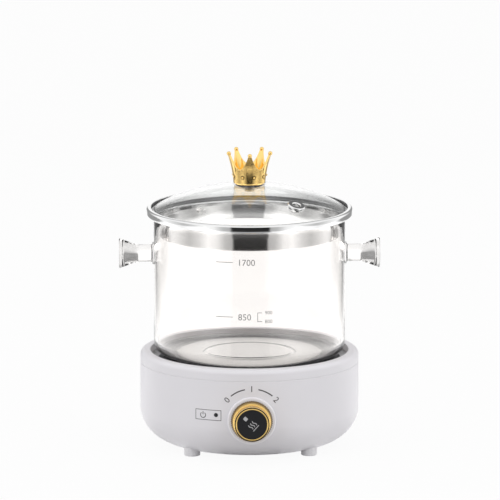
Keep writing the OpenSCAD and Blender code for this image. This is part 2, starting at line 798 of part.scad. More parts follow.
module heating_plate() {
    profile = concat(
        [[0, plate_under], [plate_flange_r, plate_under], [plate_flange_r, plate_under + plate_flange_t]],
        [[plate_r, plate_under + plate_flange_t]],
        arc(plate_r - plate_round, plate_top - plate_round, plate_round, 0, 90),
        [[0, plate_top]]
    );
    color("#b6b8ba")
    difference() {
        rotate_extrude() polygon(profile);
        rotate_extrude() translate([element_r, element_z]) circle(d = element_d + seat_fit);
        spaced(spacers, spacer_ring_r, 30)
            translate([0, 0, plate_under - past])
                cylinder(d = bolt_d + 2 * seat_fit, h = bolt_grip + past + seat_fit);
        at_plate_screws()
            translate([0, 0, -past])
                cylinder(d = plate_screw_d + 2 * seat_fit, h = plate_screw_grip + past + seat_fit);
    }
}

module plate_seal() {
    seat = plate_under + plate_flange_t;
    color("#242426")
    translate([0, 0, seat])
    difference() {
        cylinder(r = plate_flange_r, h = tray_z - sheet_t - seat);
        translate([0, 0, -past]) cylinder(r = plate_r + seat_fit, h = plate_t);
    }
}

module heating_element() {
    color("#7c7468") {
        translate([0, 0, element_z])
            rotate([0, 0, 90 + element_end])
                rotate_extrude(angle = 360 - element_gap)
                    translate([element_r, 0])
                        circle(d = element_d);
        at_element_pins()
            translate([0, 0, pan_z - pin_drop])
                cylinder(d = element_pin_d, h = element_z + pin_drop - pan_z);
    }
}

module at_element_pins() {
    inset = asin(element_pin_d / element_r);
    for (side = [-1, 1]) rotate([0, 0, 90 + side * (element_end + inset)]) translate([element_r, 0, 0]) children();
}

module heat_shield() {
    pan_out = pan_r + sheet_t;
    profile = [
        [pan_hole_r, pan_z - sheet_t], [pan_out, pan_z - sheet_t], [pan_out, shelf_z], [base_ir - seat_fit, shelf_z],
        [base_ir - seat_fit, shelf_z + sheet_t], [pan_r, shelf_z + sheet_t], [pan_r, pan_z], [pan_hole_r, pan_z]
    ];
    color("#9fa3a6")
    difference() {
        rotate_extrude() polygon(profile);
        spaced(spacers, spacer_ring_r, 30)
            translate([0, 0, pan_z - sheet_t - past])
                cylinder(d = bolt_d + 2 * seat_fit, h = sheet_t + 2 * past);
        at_element_pins() translate([0, 0, pan_z - sheet_t - past]) cylinder(d = 2 * element_pin_d, h = sheet_t + 2 * past);
    }
}

module plate_spacers() {
    color("#c2c4c6")
    spaced(spacers, spacer_ring_r, 30)
        translate([0, 0, pan_z])
            difference() {
                cylinder(d = spacer_d, h = plate_under - pan_z);
                translate([0, 0, -past]) cylinder(d = bolt_d + 2 * seat_fit, h = plate_under - pan_z + 2 * past);
            }
}

module plate_bolts() {
    head_z = pan_z - sheet_t - bolt_head_h;
    color("#c2c4c6")
    spaced(spacers, spacer_ring_r, 30)
        translate([0, 0, head_z]) {
            cylinder(d = bolt_head_d / cos(30), h = bolt_head_h, $fn = 6);
            cylinder(d = bolt_d, h = plate_under + bolt_grip - head_z);
        }
}

module at_plate_screws() {
    for (side = [-1, 1]) translate([side * thermostat_pitch / 2, 0, plate_under]) children();
    translate([0, -clip_screw_at, plate_under]) children();
}

module thermostat() {
    body_z = plate_under - strap_t - thermostat_h;
    color("#3b3029")
    difference() {
        union() {
            translate([0, 0, body_z]) cylinder(d = thermostat_d, h = thermostat_h + strap_t);
            translate([-thermostat_pitch / 2, -ear_w / 2, plate_under - strap_t]) cube([thermostat_pitch, ear_w, strap_t]);
            for (side = [-1, 1]) {
                translate([side * thermostat_pitch / 2, 0, plate_under - strap_t]) cylinder(d = ear_w, h = strap_t);
                translate([side * thermostat_d / 4 - tab_t / 2, -tab_w / 2, body_z - tab_len])
                    cube([tab_t, tab_w, tab_len + past]);
            }
        }
        for (side = [-1, 1])
            translate([side * thermostat_pitch / 2, 0, plate_under - strap_t - past])
                cylinder(d = plate_screw_d + 2 * seat_fit, h = strap_t + 2 * past);
    }
}

module thermal_fuse() {
    color("#d8d2c4")
    translate([-fuse_len / 2, -fuse_at, fuse_z]) rotate([0, 90, 0]) {
        cylinder(d = fuse_d, h = fuse_len);
        translate([0, 0, -fuse_d]) cylinder(d = fuse_d / 4, h = fuse_len + 2 * fuse_d);
    }
}

module fuse_clip() {
    strap_r = clip_r + strap_t;
    color("#b0b3b6")
    difference() {
        union() {
            translate([-clip_w / 2, -fuse_at, fuse_z]) rotate([0, 90, 0]) cylinder(r = strap_r, h = clip_w);
            translate([-clip_w / 2, -fuse_at - strap_r, fuse_z]) cube([clip_w, 2 * strap_r, plate_under - fuse_z]);
            translate([-clip_w / 2, -clip_screw_at, plate_under - strap_t]) cube([clip_w, clip_screw_at - fuse_at, strap_t]);
            translate([0, -clip_screw_at, plate_under - strap_t]) cylinder(d = clip_w, h = strap_t);
        }
        translate([-clip_w, -fuse_at, fuse_z]) rotate([0, 90, 0]) cylinder(r = clip_r, h = 2 * clip_w);
        translate([-clip_w, -fuse_at - clip_r, fuse_z]) cube([2 * clip_w, 2 * clip_r, fuse_d]);
        translate([-clip_w, -fuse_at - 2 * strap_r, plate_under]) cube([2 * clip_w, 4 * strap_r, strap_r]);
        translate([0, -clip_screw_at, plate_under - strap_t - past])
            cylinder(d = plate_screw_d + 2 * seat_fit, h = strap_t + 2 * past);
    }
}

module plate_screws() {
    color("#c2c4c6")
    at_plate_screws() {
        translate([0, 0, -strap_t - plate_screw_head_h]) cylinder(d = plate_screw_head_d, h = plate_screw_head_h);
        translate([0, 0, -strap_t - plate_screw_head_h])
            cylinder(d = plate_screw_d, h = plate_screw_grip + strap_t + plate_screw_head_h);
    }
}

// Control

module rotary_switch() {
    color("#2f2f33")
    difference() {
        union() {
            on_front(switch_y - switch_depth)
                translate([-switch_w / 2, -switch_w / 2, 0])
                    cube([switch_w, switch_w, switch_depth]);
            on_front(switch_y - past) cylinder(r = bush_r, h = bush_end - switch_y + past);
        }
        on_front(switch_y - switch_depth + switch_wall)
            cylinder(r = rotor_r + air_gap, h = switch_depth - 2 * switch_wall);
        on_front(switch_y - switch_depth / 2) cylinder(d = shaft_d + 2 * run_fit, h = base_r);
    }
}

module at_switch_tabs() {
    for (x = [-1, 1], z = [-1, 1])
        on_front(switch_y - switch_depth)
            translate([x * switch_w / 4, z * switch_w / 4, 0])
                children();
}

module switch_terminals() {
    color("#c9a24a")
    at_switch_tabs() translate([-tab_w / 2, -tab_t / 2, -tab_len]) cube([tab_w, tab_t, tab_len]);
}

module switch_nut() {
    color("#c2c4c6")
    on_front(nut_y)
    difference() {
        cylinder(d = nut_w / cos(30), h = nut_t, $fn = 6);
        translate([0, 0, -past]) cylinder(r = bush_r + seat_fit / 2, h = nut_t + 2 * past);
    }
}

module knob_bezel() {
    bezel_r = bezel_d / 2;
    deep = base_corner_h;
    profile = concat(
        [[bezel_bore_d / 2, -deep], [bezel_r, -deep]],
        arc(bezel_r - bezel_round, -bezel_round, bezel_round, 0, 90, 6),
        [[bezel_bore_d / 2, 0]]
    );
    color("#f2f1f4")
    difference() {
        union() {
            difference() {
                on_front(bezel_y) rotate_extrude() polygon(profile);
                base_form(seat_fit / 2);
            }
            on_front(spot_y) cylinder(r = spot_r - seat_fit, h = bezel_flange_t);
        }
        on_front(0) cylinder(r = bush_r + seat_fit, h = 2 * base_r);
    }
}

module lamp_lens() {
    lens_r = lens_d / 2;
    lens_len = base_r - lamp_y;
    dome = 0.4;
    profile = concat(
        [[0, -lamp_flange_t], [lamp_holder_d / 2 - 2 * seat_fit, -lamp_flange_t]],
        [[lamp_holder_d / 2 - 2 * seat_fit, 0], [lens_r, 0]],
        oval(0, lens_len, lens_r, dome, 0, 90, 6)
    );
    color("#1c1c20") on_lamp(lamp_y) rotate_extrude() polygon(profile);
}

module lamp_holder() {
    color("#3a3a3e")
    on_lamp(lamp_y - lamp_flange_t - lamp_holder_len) {
        cylinder(d = lamp_holder_d, h = lamp_holder_len);
        for (side = [-1, 1]) translate([side * lamp_holder_d / 4, 0, -tab_len / 2]) cylinder(d = tab_t, h = tab_len);
    }
}

module switch_shaft() {
    rotor_y = switch_y - switch_wall - air_gap - rotor_len;
    shaft_len = knob_y + shaft_end - rotor_y;
    flat = 0.75 * shaft_d - shaft_d / 2;
    color("#8d8f92")
    on_front(rotor_y)
    difference() {
        union() {
            cylinder(r = rotor_r, h = rotor_len);
            cylinder(d = shaft_d, h = shaft_len);
        }
        translate([-shaft_d, flat, knob_y + hub_back - rotor_y - past]) cube([2 * shaft_d, shaft_d, shaft_len]);
        for (i = [0:2])
            rotate([0, 0, 120 * i])
                translate([rotor_r, 0, rotor_len / 4])
                    cylinder(d = rotor_r / 2, h = rotor_len / 2);
    }
}

module knob_hub() {
    bore_r = shaft_d / 2 + seat_fit;
    flat = 0.75 * shaft_d - shaft_d / 2 + seat_fit;
    color("#222224")
    on_front(knob_y + hub_back)
    difference() {
        cylinder(r = knob_core_r, h = face_seat - hub_back);
        difference() {
            translate([0, 0, -past]) cylinder(r = bore_r, h = shaft_end - hub_back + past + seat_fit);
            translate([-shaft_d, flat, -2 * past]) cube([2 * shaft_d, shaft_d, knob_len]);
        }
    }
}

module knob_shell() {
    tooth = [for (i = [0:2 * knurls - 1]) let (a = 180 * i / knurls, r = knob_r - (i % 2) * knurl_depth)
        [r * cos(a), r * sin(a)]];
    bore_r = knob_core_r + seat_fit / 2;
    lip = knob_rim_r - knob_face_r;
    shoulder_r = knob_drum_r + knob_shoulder - knurl_depth;
    ledge_z = knob_len - knob_ledge;
    edge = 0.3;
    drum = concat(
        [[bore_r, past], [shoulder_r, past], [shoulder_r, knurl_len]],
        oval(knob_drum_r, knurl_len, shoulder_r - knob_drum_r, knob_shoulder, 0, 90, 6),
        arc(knob_drum_r - edge, ledge_z - edge, edge, 0, 90, 6),
        [[knob_rim_r, ledge_z]],
        arc(knob_rim_r - lip / 2, knob_len - lip / 2, lip / 2, 0, 180),
        [[knob_face_r, face_seat], [bore_r, face_seat]]
    );
    color("#d2a548")
    on_front(knob_y) {
        difference() {
            linear_extrude(height = knurl_len, scale = knob_flange_front_d / knob_d) polygon(tooth);
            translate([0, 0, -past]) cylinder(r = bore_r, h = knob_len);
        }
        rotate_extrude() polygon(drum);
    }
}

module knob_face() {
    edge = 0.4;
    face_r = knob_face_r - seat_fit / 2;
    profile = concat(
        [[0, 0], [face_r, 0]],
        arc(face_r - edge, knob_face_t - edge, edge, 0, 90, 6),
        [[0, knob_face_t]]
    );
    color("#18181a") on_front(knob_y + face_seat) rotate_extrude() polygon(profile);
}

// Mains entry and underside

module at_block_ways() {
    for (i = [0:block_ways - 1])
        translate([(i - (block_ways - 1) / 2) * block_pitch, block_at, cover_top])
            children();
}

module terminal_block() {
    port_z = (block_h - block_well) / 2;
    color("#f0eee6")
    difference() {
        translate([-block_w / 2, block_at - block_d / 2, cover_top]) cube([block_w, block_d, block_h]);
        at_block_ways() {
            translate([0, 0, block_h - block_well]) cylinder(d = block_screw_d + 2 * seat_fit, h = block_well + past);
            translate([0, block_d, port_z]) rotate([90, 0, 0]) cylinder(d = block_screw_d, h = 2 * block_d);
        }
    }
}

module terminal_screws() {
    slot_w = 0.8;
    color("#c9a24a")
    at_block_ways()
        translate([0, 0, block_h - block_well])
            difference() {
                cylinder(d = block_screw_d, h = block_well / 2);
                translate([-block_screw_d, -slot_w / 2, block_well / 4]) cube([2 * block_screw_d, slot_w, block_well]);
            }
}

module cord_gland() {
    tail = gland_in_y - gland_nut_t - gland_tail - gland_y;
    round_r = gland_flange_t / 2;
    neck_r = gland_neck_d / 2;
    bore_r = gland_bore_d / 2;
    end_r = boot_end_d / 2;
    tip = boot_end - gland_y;
    tip_round = (end_r - bore_r) / 2;
    run = tip - gland_flange_t;
    pitch = run / (boot_grooves + 1);
    function boot_r(y) = neck_r + (end_r - neck_r) * (y - gland_flange_t) / run;
    function groove(y, half) = [
        [boot_r(y - half), y - half], [boot_r(y - half) - boot_groove_depth, y - half],
        [boot_r(y + half) - boot_groove_depth, y + half], [boot_r(y + half), y + half]
    ];
    profile = concat(
        [[bore_r, tail], [neck_r, tail], [neck_r, 0]],
        [[gland_flange_d / 2, 0]],
        arc(gland_flange_d / 2 - round_r, gland_flange_t - round_r, round_r, 0, 90, 6),
        [[neck_r, gland_flange_t]],
        [for (i = [1:boot_grooves]) each groove(gland_flange_t + i * pitch, pitch / 4)],
        arc(end_r - tip_round, tip - tip_round, tip_round, 0, 90, 6),
        [[bore_r, tip]]
    );
    color("#dcdbe0") on_back(gland_y) rotate_extrude() polygon(profile);
}

module gland_nut() {
    color("#3a3a3e")
    on_back(gland_in_y - gland_nut_t)
    difference() {
        cylinder(r = gland_nut_r, h = gland_nut_t, $fn = 6);
        translate([0, 0, -past]) cylinder(d = gland_neck_d + seat_fit, h = gland_nut_t + 2 * past);
    }
}

module bottom_cover() {
    slot_w = 3;
    slot_in = 36;
    slot_out = cover_ledge_r - slot_w;
    color("#d9d7dd")
    translate([0, 0, base_z0])
    difference() {
        cylinder(r = cover_r, h = cover_t);
        spaced(foot_count, cover_screw_r) {
            translate([0, 0, -past]) cylinder(d = cover_screw_d + 2 * seat_fit, h = cover_t + 2 * past);
            translate([0, 0, -past]) cylinder(d = 2 * cover_screw_d + 4 * seat_fit, h = screw_head_h + past);
        }
        spaced(cover_slots, 0, 180 / cover_slots) {
            translate([slot_in, -slot_w / 2, -past]) cube([slot_out - slot_in, slot_w, cover_t + 2 * past]);
            for (r = [slot_in, slot_out]) translate([r, 0, -past]) cylinder(d = slot_w, h = cover_t + 2 * past);
        }
    }
}

module cover_screws() {
    color("#b9bcc0")
    spaced(foot_count, cover_screw_r)
        translate([0, 0, base_z0])
            difference() {
                union() {
                    cylinder(d = 2 * cover_screw_d, h = screw_head_h);
                    cylinder(d = cover_screw_d, h = cover_t + cover_screw_len - seat_fit);
                }
                for (a = [0, 90])
                    rotate([0, 0, a])
                        translate([-cover_screw_d / 2, -sheet_t / 2, -past])
                            cube([cover_screw_d, sheet_t, past + screw_head_h / 2]);
            }
}

module feet() {
    edge = 0.8;
    barb = 1;
    foot_r = foot_d / 2;
    stem_r = foot_stem_d / 2;
    stem_top = foot_top + foot_roof;
    profile = [
        [0, 0], [foot_r - edge, 0], [foot_r, edge], [foot_r, foot_top], [stem_r, foot_top], [stem_r, stem_top],
        [stem_r + barb, stem_top], [stem_r - barb / 2, stem_top + 2 * barb], [0, stem_top + 2 * barb]
    ];
    color("#cfcdd2") spaced(foot_count, foot_ring_r, 45) rotate_extrude() polygon(profile);
}

lid_glass();
lid_band();
lid_gasket();
vent_eyelet();
crown_knob();
crown_pad();
crown_washer();
crown_screw();
pot_glass();
left_handle();
right_handle();
housing();
top_collar();
drip_tray();
heating_plate();
plate_seal();
heating_element();
heat_shield();
plate_spacers();
plate_bolts();
thermostat();
thermal_fuse();
fuse_clip();
plate_screws();
rotary_switch();
switch_terminals();
switch_nut();
knob_bezel();
lamp_lens();
lamp_holder();
terminal_block();
terminal_screws();
cord_gland();
gland_nut();
bottom_cover();
cover_screws();
feet();
switch_shaft();
knob_hub();
knob_shell();
knob_face();
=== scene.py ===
"""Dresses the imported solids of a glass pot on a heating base: smooth meshes, finishes and a studio."""

import json
import math

import bpy
from bpy.props import FloatProperty, FloatVectorProperty, IntProperty, PointerProperty
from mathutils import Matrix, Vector


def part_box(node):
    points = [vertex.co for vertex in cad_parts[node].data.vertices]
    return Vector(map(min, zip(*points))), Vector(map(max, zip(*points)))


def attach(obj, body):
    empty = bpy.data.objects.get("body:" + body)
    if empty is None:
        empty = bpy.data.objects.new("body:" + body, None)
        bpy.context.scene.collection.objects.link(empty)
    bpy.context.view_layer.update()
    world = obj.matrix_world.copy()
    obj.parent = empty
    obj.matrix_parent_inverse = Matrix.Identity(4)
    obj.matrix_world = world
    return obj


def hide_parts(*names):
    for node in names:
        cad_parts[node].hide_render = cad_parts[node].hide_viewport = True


bl_info = {
    "name": "Glass pot on a heating base",
    "version": (1, 0, 0),
    "blender": (4, 5, 0),
    "location": "View3D > Sidebar > Glass Pot",
    "description": "Builds the visible pieces of the pot, its lid and its base around the packed solids",
    "category": "Object",
}

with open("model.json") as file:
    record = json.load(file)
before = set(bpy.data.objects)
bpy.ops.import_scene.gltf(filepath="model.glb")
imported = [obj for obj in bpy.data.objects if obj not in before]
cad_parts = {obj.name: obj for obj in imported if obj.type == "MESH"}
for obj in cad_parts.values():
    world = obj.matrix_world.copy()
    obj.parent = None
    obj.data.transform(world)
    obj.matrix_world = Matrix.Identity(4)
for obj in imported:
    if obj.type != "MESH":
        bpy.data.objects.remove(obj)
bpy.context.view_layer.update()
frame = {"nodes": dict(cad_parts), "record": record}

MM = 0.001
TURN = math.tau
SMOOTH_ANGLE = math.radians(32)
PRINT_T = 0.06 * MM
FOOT_R = 6.7 * MM

# Depth of the lid glass's flat edge below the top of the band
LID_GLASS_DROP = 1.4 * MM

# Directions in degrees
CROWN_BEAD_TURN = -75
LAMP_TURN = 18.9
POINTER_REST = 48.0
VENT_TURN = -50


def top_of(node):
    return round(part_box(node)[1].z, 5)


def foot_of(node):
    return round(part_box(node)[0].z, 5)


def length(note, default):
    """A size in metres that the user may change."""
    return FloatProperty(name=note, default=default, min=0.0, precision=5, unit="LENGTH")


def degrees(note, default):
    """An angle that the user may change."""
    return FloatProperty(name=note, default=math.radians(default), subtype="ANGLE")


def whole(note, default):
    """A number of like forms that the user may change."""
    return IntProperty(name=note, default=default, min=3, max=120)


def tint(note, default):
    """A colour that the user may change."""
    return FloatVectorProperty(name=note, default=default, size=3, min=0.0, max=1.0, subtype="COLOR")


class PotSizes(bpy.types.PropertyGroup):
    """Sizes of the glass pot and its two handles."""

    radius: length("Outside radius of the pot", 80 * MM)
    foot: length("Height of the pot's foot above the table", foot_of("pot_glass"))
    rim: length("Height of the pot's rim above the table", top_of("pot_glass"))
    wall: length("Thickness of the wall", 2.5 * MM)
    floor: length("Thickness of the floor", 3.5 * MM)
    corner: length("Outside radius of the lower corner", 15 * MM)
    punt: length("Radius of the raised middle of the floor", 40 * MM)
    punt_rise: length("Height of the raised middle", 0.8 * MM)
    handle_len: length("Length of a handle from the wall", 29 * MM)
    handle_z: length("Height of the handles' axis above the table", 162.2 * MM)
    handle_root: length("Radius of the fused collar of a handle", 9.3 * MM)
    handle_neck: length("Radius of the neck of a handle", 7.3 * MM)
    handle_waist: length("Radius of the waist of a handle", 7.4 * MM)
    handle_end: length("Radius of the flared end of a handle", 12.5 * MM)


class LidSizes(bpy.types.PropertyGroup):
    """Sizes of the lid and its crown."""

    radius: length("Outside radius of the steel band", 86 * MM)
    sheet: length("Thickness of the steel sheet", 0.8 * MM)
    top: length("Height of the top of the band above the table", top_of("lid_band"))
    skirt_foot: length("Height of the skirt's lower edge", foot_of("lid_band"))
    skirt: length("Outside radius of the skirt", 75.6 * MM)
    glass: length("Radius of the glass disc", 83.3 * MM)
    glass_t: length("Thickness of the glass", 4 * MM)
    dome: length("Radius where the dome starts", 80.7 * MM)
    dome_h: length("Height of the dome above its flat edge", 21 * MM)
    flat: length("Radius of the flat spot under the crown", 14 * MM)
    vent_at: length("Distance of the steam vent from the axis", 59 * MM)
    crown_foot: length("Radius of the crown's foot", 13.3 * MM)
    crown_tip: length("Radius of the circle of the spikes' tips", 19 * MM)
    crown_h: length("Height of the crown without its balls", 26.4 * MM)
    crown_valley: length("Height of the valleys between the spikes", 14 * MM)
    spike_w: length("Width of a spike under its ball", 2.7 * MM)
    crown_wall: length("Thickness of the crown's wall", 1.7 * MM)
    spikes: whole("Number of spikes of the crown", 5)
    beads: whole("Number of beads round the crown", 9)


class BaseSizes(bpy.types.PropertyGroup):
    """Sizes of the heating base and its knob."""

    radius: length("Outside radius of the base", 91.25 * MM)
    foot: length("Height of the housing above the table", foot_of("housing"))
    seam: length("Height of the seam under the collar", top_of("housing"))
    top: length("Height of the collar's top", top_of("top_collar"))
    corner_w: length("Width of the rounded lower corner", 36 * MM)
    corner_h: length("Height of the rounded lower corner", 30 * MM)
    wall: length("Thickness of the housing's wall", 2.5 * MM)
    lip: length("Inside radius of the collar", 82.65 * MM)
    plate: length("Radius of the heating plate", 62 * MM)
    plate_top: length("Height of the heating plate's top", top_of("heating_plate"))
    tray_edge: length("Height of the tray's outer edge", top_of("drip_tray"))
    tray_floor: length("Radius of the flat floor of the tray", 76.15 * MM)
    tray_z: length("Height of the tray's floor", top_of("heating_plate") - 1.4 * MM)
    knob_z: length("Height of the knob's axis", 38 * MM)
    knob_back: length("Distance of the knob's back in front of the axis", 93.05 * MM)
    knob_len: length("Length of the knob", 14.5 * MM)
    knurls: whole("Number of knurls round the knob", 60)
    lamp_z: length("Height of the power lamp", 42 * MM)
    gland_z: length("Height of the cord's gland", 43 * MM)
    feet_at: length("Radius of the circle of the feet", 68.9 * MM)


class Colours(bpy.types.PropertyGroup):
    """Colours of the finishes."""

    glass: tint("Tint of the pot's glass", (1.0, 0.985, 0.972))
    lid_glass: tint("Tint of the lid's glass", (0.985, 0.99, 0.985))
    steel: tint("Polished steel of the lid's band", (0.80, 0.80, 0.80))
    gold: tint("Gold plating of crown and knob", (1.0, 0.67, 0.24))
    white: tint("Moulded plastic of the base", (0.74, 0.725, 0.755))
    black: tint("Black face of the knob", (0.011, 0.011, 0.013))
    ink: tint("Dark print on the base", (0.045, 0.042, 0.045))
    glass_ink: tint("Grey print on the pot", (0.24, 0.235, 0.23))
    enamel: tint("Dark enamel of the tray's floor", (0.035, 0.036, 0.041))
    aluminium: tint("Cast heating plate", (0.62, 0.625, 0.63))


class Studio(bpy.types.PropertyGroup):
    """Camera and light."""

    distance: length("Distance of the camera from its aim", 8.0)
    field: length("Width of the picture at the aim", 0.4177)
    aim_z: length("Height that the camera aims at", 0.1645)
    elevation: degrees("Angle of the camera above the horizon", 11.0)
    azimuth: degrees("Turn of the camera round the pot", -1.2)
    world: FloatProperty(name="Strength of the light from all round", default=1.4, min=0.0)
    softbox: FloatProperty(name="Power of each large softbox in watts", default=7.5, min=0.0, unit="POWER")


class PotSettings(bpy.types.PropertyGroup):
    """All the settings of the scene."""

    pot: PointerProperty(type=PotSizes)
    lid: PointerProperty(type=LidSizes)
    base: PointerProperty(type=BaseSizes)
    colours: PointerProperty(type=Colours)
    studio: PointerProperty(type=Studio)


def settings():
    return bpy.context.scene.glass_pot


# Modelling


def shares(count):
    """Even steps from 0 to 1."""
    return [i / count for i in range(count + 1)]


def arc(cx, cz, rx, rz, a0, a1, steps):
    """Points of an ellipse's arc, with its angles in degrees."""
    turns = [math.radians(a0 + (a1 - a0) * t) for t in shares(steps)]
    return [(cx + rx * math.cos(a), cz + rz * math.sin(a)) for a in turns]


def bow(cx, cz, radius, a0, a1, steps):
    """Points of a circle's arc, with its angles in degrees."""
    return arc(cx, cz, radius, radius, a0, a1, steps)


def rows(start, end, count):
    """Points along a straight line, without its first one."""
    (x0, z0), (x1, z1) = start, end
    return [(x0 + (x1 - x0) * t, z0 + (z1 - z0) * t) for t in shares(count)[1:]]


def ease(t):
    return t * t * (3 - 2 * t)


def called(piece, name):
    """Names a piece and its mesh."""
    piece.name = piece.data.name = name
    return piece


def new_piece(name, add, **options):
    """Adds a primitive by itself, selected and active."""
    bpy.ops.object.select_all(action="DESELECT")
    add(**options)
    return called(bpy.context.object, name)


def pick(*pieces):
    """Selects only these pieces, and makes the first one active."""
    bpy.ops.object.select_all(action="DESELECT")
    for piece in pieces:
        piece.select_set(True)
    bpy.context.view_layer.objects.active = pieces[0]


class Editing:
    """Edit mode, for as long as a block lasts."""

    def __enter__(self):
        bpy.ops.object.mode_set(mode="EDIT")

    def __exit__(self, *problem):
        bpy.ops.object.mode_set(mode="OBJECT")


def select_all():
    """Selects the whole mesh, in edit mode."""
    bpy.ops.mesh.select_all(action="SELECT")


def merge_points(reach=2e-6):
    """Merges points that lie together, in edit mode."""
    select_all()
    bpy.ops.mesh.remove_doubles(threshold=reach)
    select_all()


def tidy_mesh():
    """Merges doubles and turns all faces outwards, in edit mode."""
    merge_points()
    bpy.ops.mesh.normals_make_consistent(inside=False)


def lathe(name, outline, steps=256, ring=True):
    """Draws an outline of radii and heights point by point, and spins it round the Z axis.
    A ring's outline is closed; any other starts and ends on the axis."""
    points = [Vector((r, 0, z)) for r, z in outline]
    if ring:
        points.append(points[0])
    piece = new_piece(name, bpy.ops.mesh.primitive_plane_add, size=MM)
    with Editing():
        bpy.ops.mesh.merge(type="CENTER")
        bpy.ops.transform.translate(value=points[0])
        for a, b in zip(points, points[1:]):
            bpy.ops.mesh.extrude_region_move(TRANSFORM_OT_translate={"value": b - a})
        merge_points(1e-6)
        bpy.ops.mesh.spin(steps=steps, angle=TURN, center=(0, 0, 0), axis=(0, 0, 1))
        tidy_mesh()
    return piece


def place(piece, turn=(0, 0, 0), move=(0, 0, 0)):
    """Turns a piece, by degrees, and moves it, and puts both into its mesh."""
    pick(piece)
    piece.rotation_euler = [math.radians(a) for a in turn]
    piece.location = move
    bpy.ops.object.transform_apply(location=True, rotation=True, scale=True)
    return piece


def shape(piece, move):
    """Moves every point of a mesh to move(x, y, z)."""
    for v in piece.data.vertices:
        v.co = move(*v.co)
    piece.data.update()
    return piece


def apply(piece, kind, **options):
    """Adds a modifier and applies it."""
    pick(piece)
    modifier = piece.modifiers.new(kind.lower(), kind)
    for key, value in options.items():
        setattr(modifier, key, value)
    bpy.ops.object.modifier_apply(modifier=modifier.name)
    return piece


def combine(piece, tool, operation):
    """Cuts a tool out of a piece, or fuses it on, and deletes the tool."""
    apply(piece, "BOOLEAN", operation=operation, object=tool, solver="EXACT")
    pick(tool)
    bpy.ops.object.delete()
    pick(piece)
    with Editing():
        merge_points()
    if not piece.data.polygons:
        raise RuntimeError(f"{piece.name} came out empty")
    return piece


def join(first, *others):
    """Puts the meshes of several pieces into the first one."""
    if others:
        pick(first, *others)
        bpy.ops.object.join()
    return first


def copies(piece, count, radius, start):
    """Copies of a piece round the Z axis, each with its own mesh, joined with it."""
    others = []
    for _ in range(1, count):
        pick(piece)
        bpy.ops.object.duplicate(linked=False)
        others.append(bpy.context.object)
    for i, other in enumerate([piece] + others):
        a = math.radians(start) + TURN * i / count
        place(other, move=(radius * math.cos(a), radius * math.sin(a), 0))
    return join(piece, *others)


def drum(name, radius, low, high, steps=64):
    """A plain round cutter along Z."""
    return lathe(name, [(0, low), (radius, low), (radius, high), (0, high)], steps, ring=False)


def foot_seat(s):
    """Height of a foot's seat, just past the housing's curve at the foot's outer side."""
    past = 0.8 * MM
    out = (s.feet_at + FOOT_R - (s.radius - s.corner_w)) / s.corner_w
    return s.foot + s.corner_h * (1 - math.sqrt(1 - out**2)) + past


def done(piece, body, slot, finish, *nodes, angle=SMOOTH_ANGLE):
    """Shades a finished piece, gives it its finish, puts it in its body, and hides the nodes that it
    replaces. The slot is not used.
    """
    pick(piece)
    bpy.ops.object.shade_smooth_by_angle(angle=angle)
    piece.data.materials.clear()
    piece.data.materials.append(finish)
    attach(piece, body)
    if nodes:
        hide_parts(*nodes)
    return piece


# Flat print: shapes are drawn in a plane, u to the right and v up, and then laid on a surface


def strip(name, points, width):
    """A flat ribbon along points in the plane."""
    last = len(points) - 1
    piece = new_piece(name, bpy.ops.mesh.primitive_grid_add, x_subdivisions=last, y_subdivisions=1, size=2)
    path = [Vector(p) for p in points]
    sides = []
    for i in range(last + 1):
        along = (path[min(i + 1, last)] - path[max(i - 1, 0)]).normalized()
        sides.append(Vector((-along.y, along.x)) * width / 2)

    def lay(x, y, z):
        i = round((x + 1) / 2 * last)
        p = path[i] + sides[i] * (1 if y > 0 else -1)
        return p.x, p.y, 0.0

    return thicken(shape(piece, lay))


def thicken(piece):
    """Gives a flat print its thickness, up from the plane."""
    return apply(piece, "SOLIDIFY", thickness=PRINT_T, offset=1.0)


def frame_box(name, width, height, line):
    """The outline of a box in the plane."""
    piece = new_piece(name, bpy.ops.mesh.primitive_plane_add, size=1)
    with Editing():
        bpy.ops.transform.resize(value=(width, height, 1))
        select_all()
        bpy.ops.mesh.inset(thickness=line)
        bpy.ops.mesh.delete(type="FACE")
        select_all()
        bpy.ops.mesh.subdivide(number_cuts=12)
    return thicken(piece)


def frame_dot(name, width, height):
    """A small solid block of print with blunt corners."""
    piece = new_piece(name, bpy.ops.mesh.primitive_plane_add, size=1)
    with Editing():
        bpy.ops.transform.resize(value=(width, height, 1))
        select_all()
        bpy.ops.mesh.bevel(offset=0.5 * MM, segments=3, affect="VERTICES")
    return thicken(piece)


def figures(name, text, height):
    """Plain figures of a given height, centred on the plane's origin."""
    bpy.ops.object.select_all(action="DESELECT")
    bpy.ops.object.text_add()
    words = bpy.context.object
    words.data.body = text
    words.data.resolution_u = 4
    words.data.extrude = 0.5
    bpy.ops.object.convert(target="MESH")
    piece = called(bpy.context.object, name)
    xs = [v.co.x for v in piece.data.vertices]
    ys = [v.co.y for v in piece.data.vertices]
    scale = height / (max(ys) - min(ys))
    cx, cy = (max(xs) + min(xs)) / 2, (max(ys) + min(ys)) / 2
    shape(piece, lambda x, y, z: ((x - cx) * scale, (y - cy) * scale, (z + 0.5) * PRINT_T))
    with Editing():
        tidy_mesh()
    return piece


def slide(piece, u, v, turn=0.0):
    """Turns flat print clockwise by an angle in degrees, and moves it in its plane."""
    a = math.radians(turn)
    c, s = math.cos(a), math.sin(a)
    return shape(piece, lambda x, y, z: (x * c + y * s + u, y * c - x * s + v, z))


def wrap(piece, radius):
    """Lays flat print round the front of a cylinder."""

    def lay(x, y, z):
        r = radius + z
        return r * math.sin(x / radius), -r * math.cos(x / radius), y

    return shape(piece, lay)


def circle_path(radius, a0, a1, steps, centre=(0, 0)):
    """Points round a circle in the plane, clockwise from the top, with angles in degrees."""
    return bow(*centre, radius, 90 - a0, 90 - a1, steps)


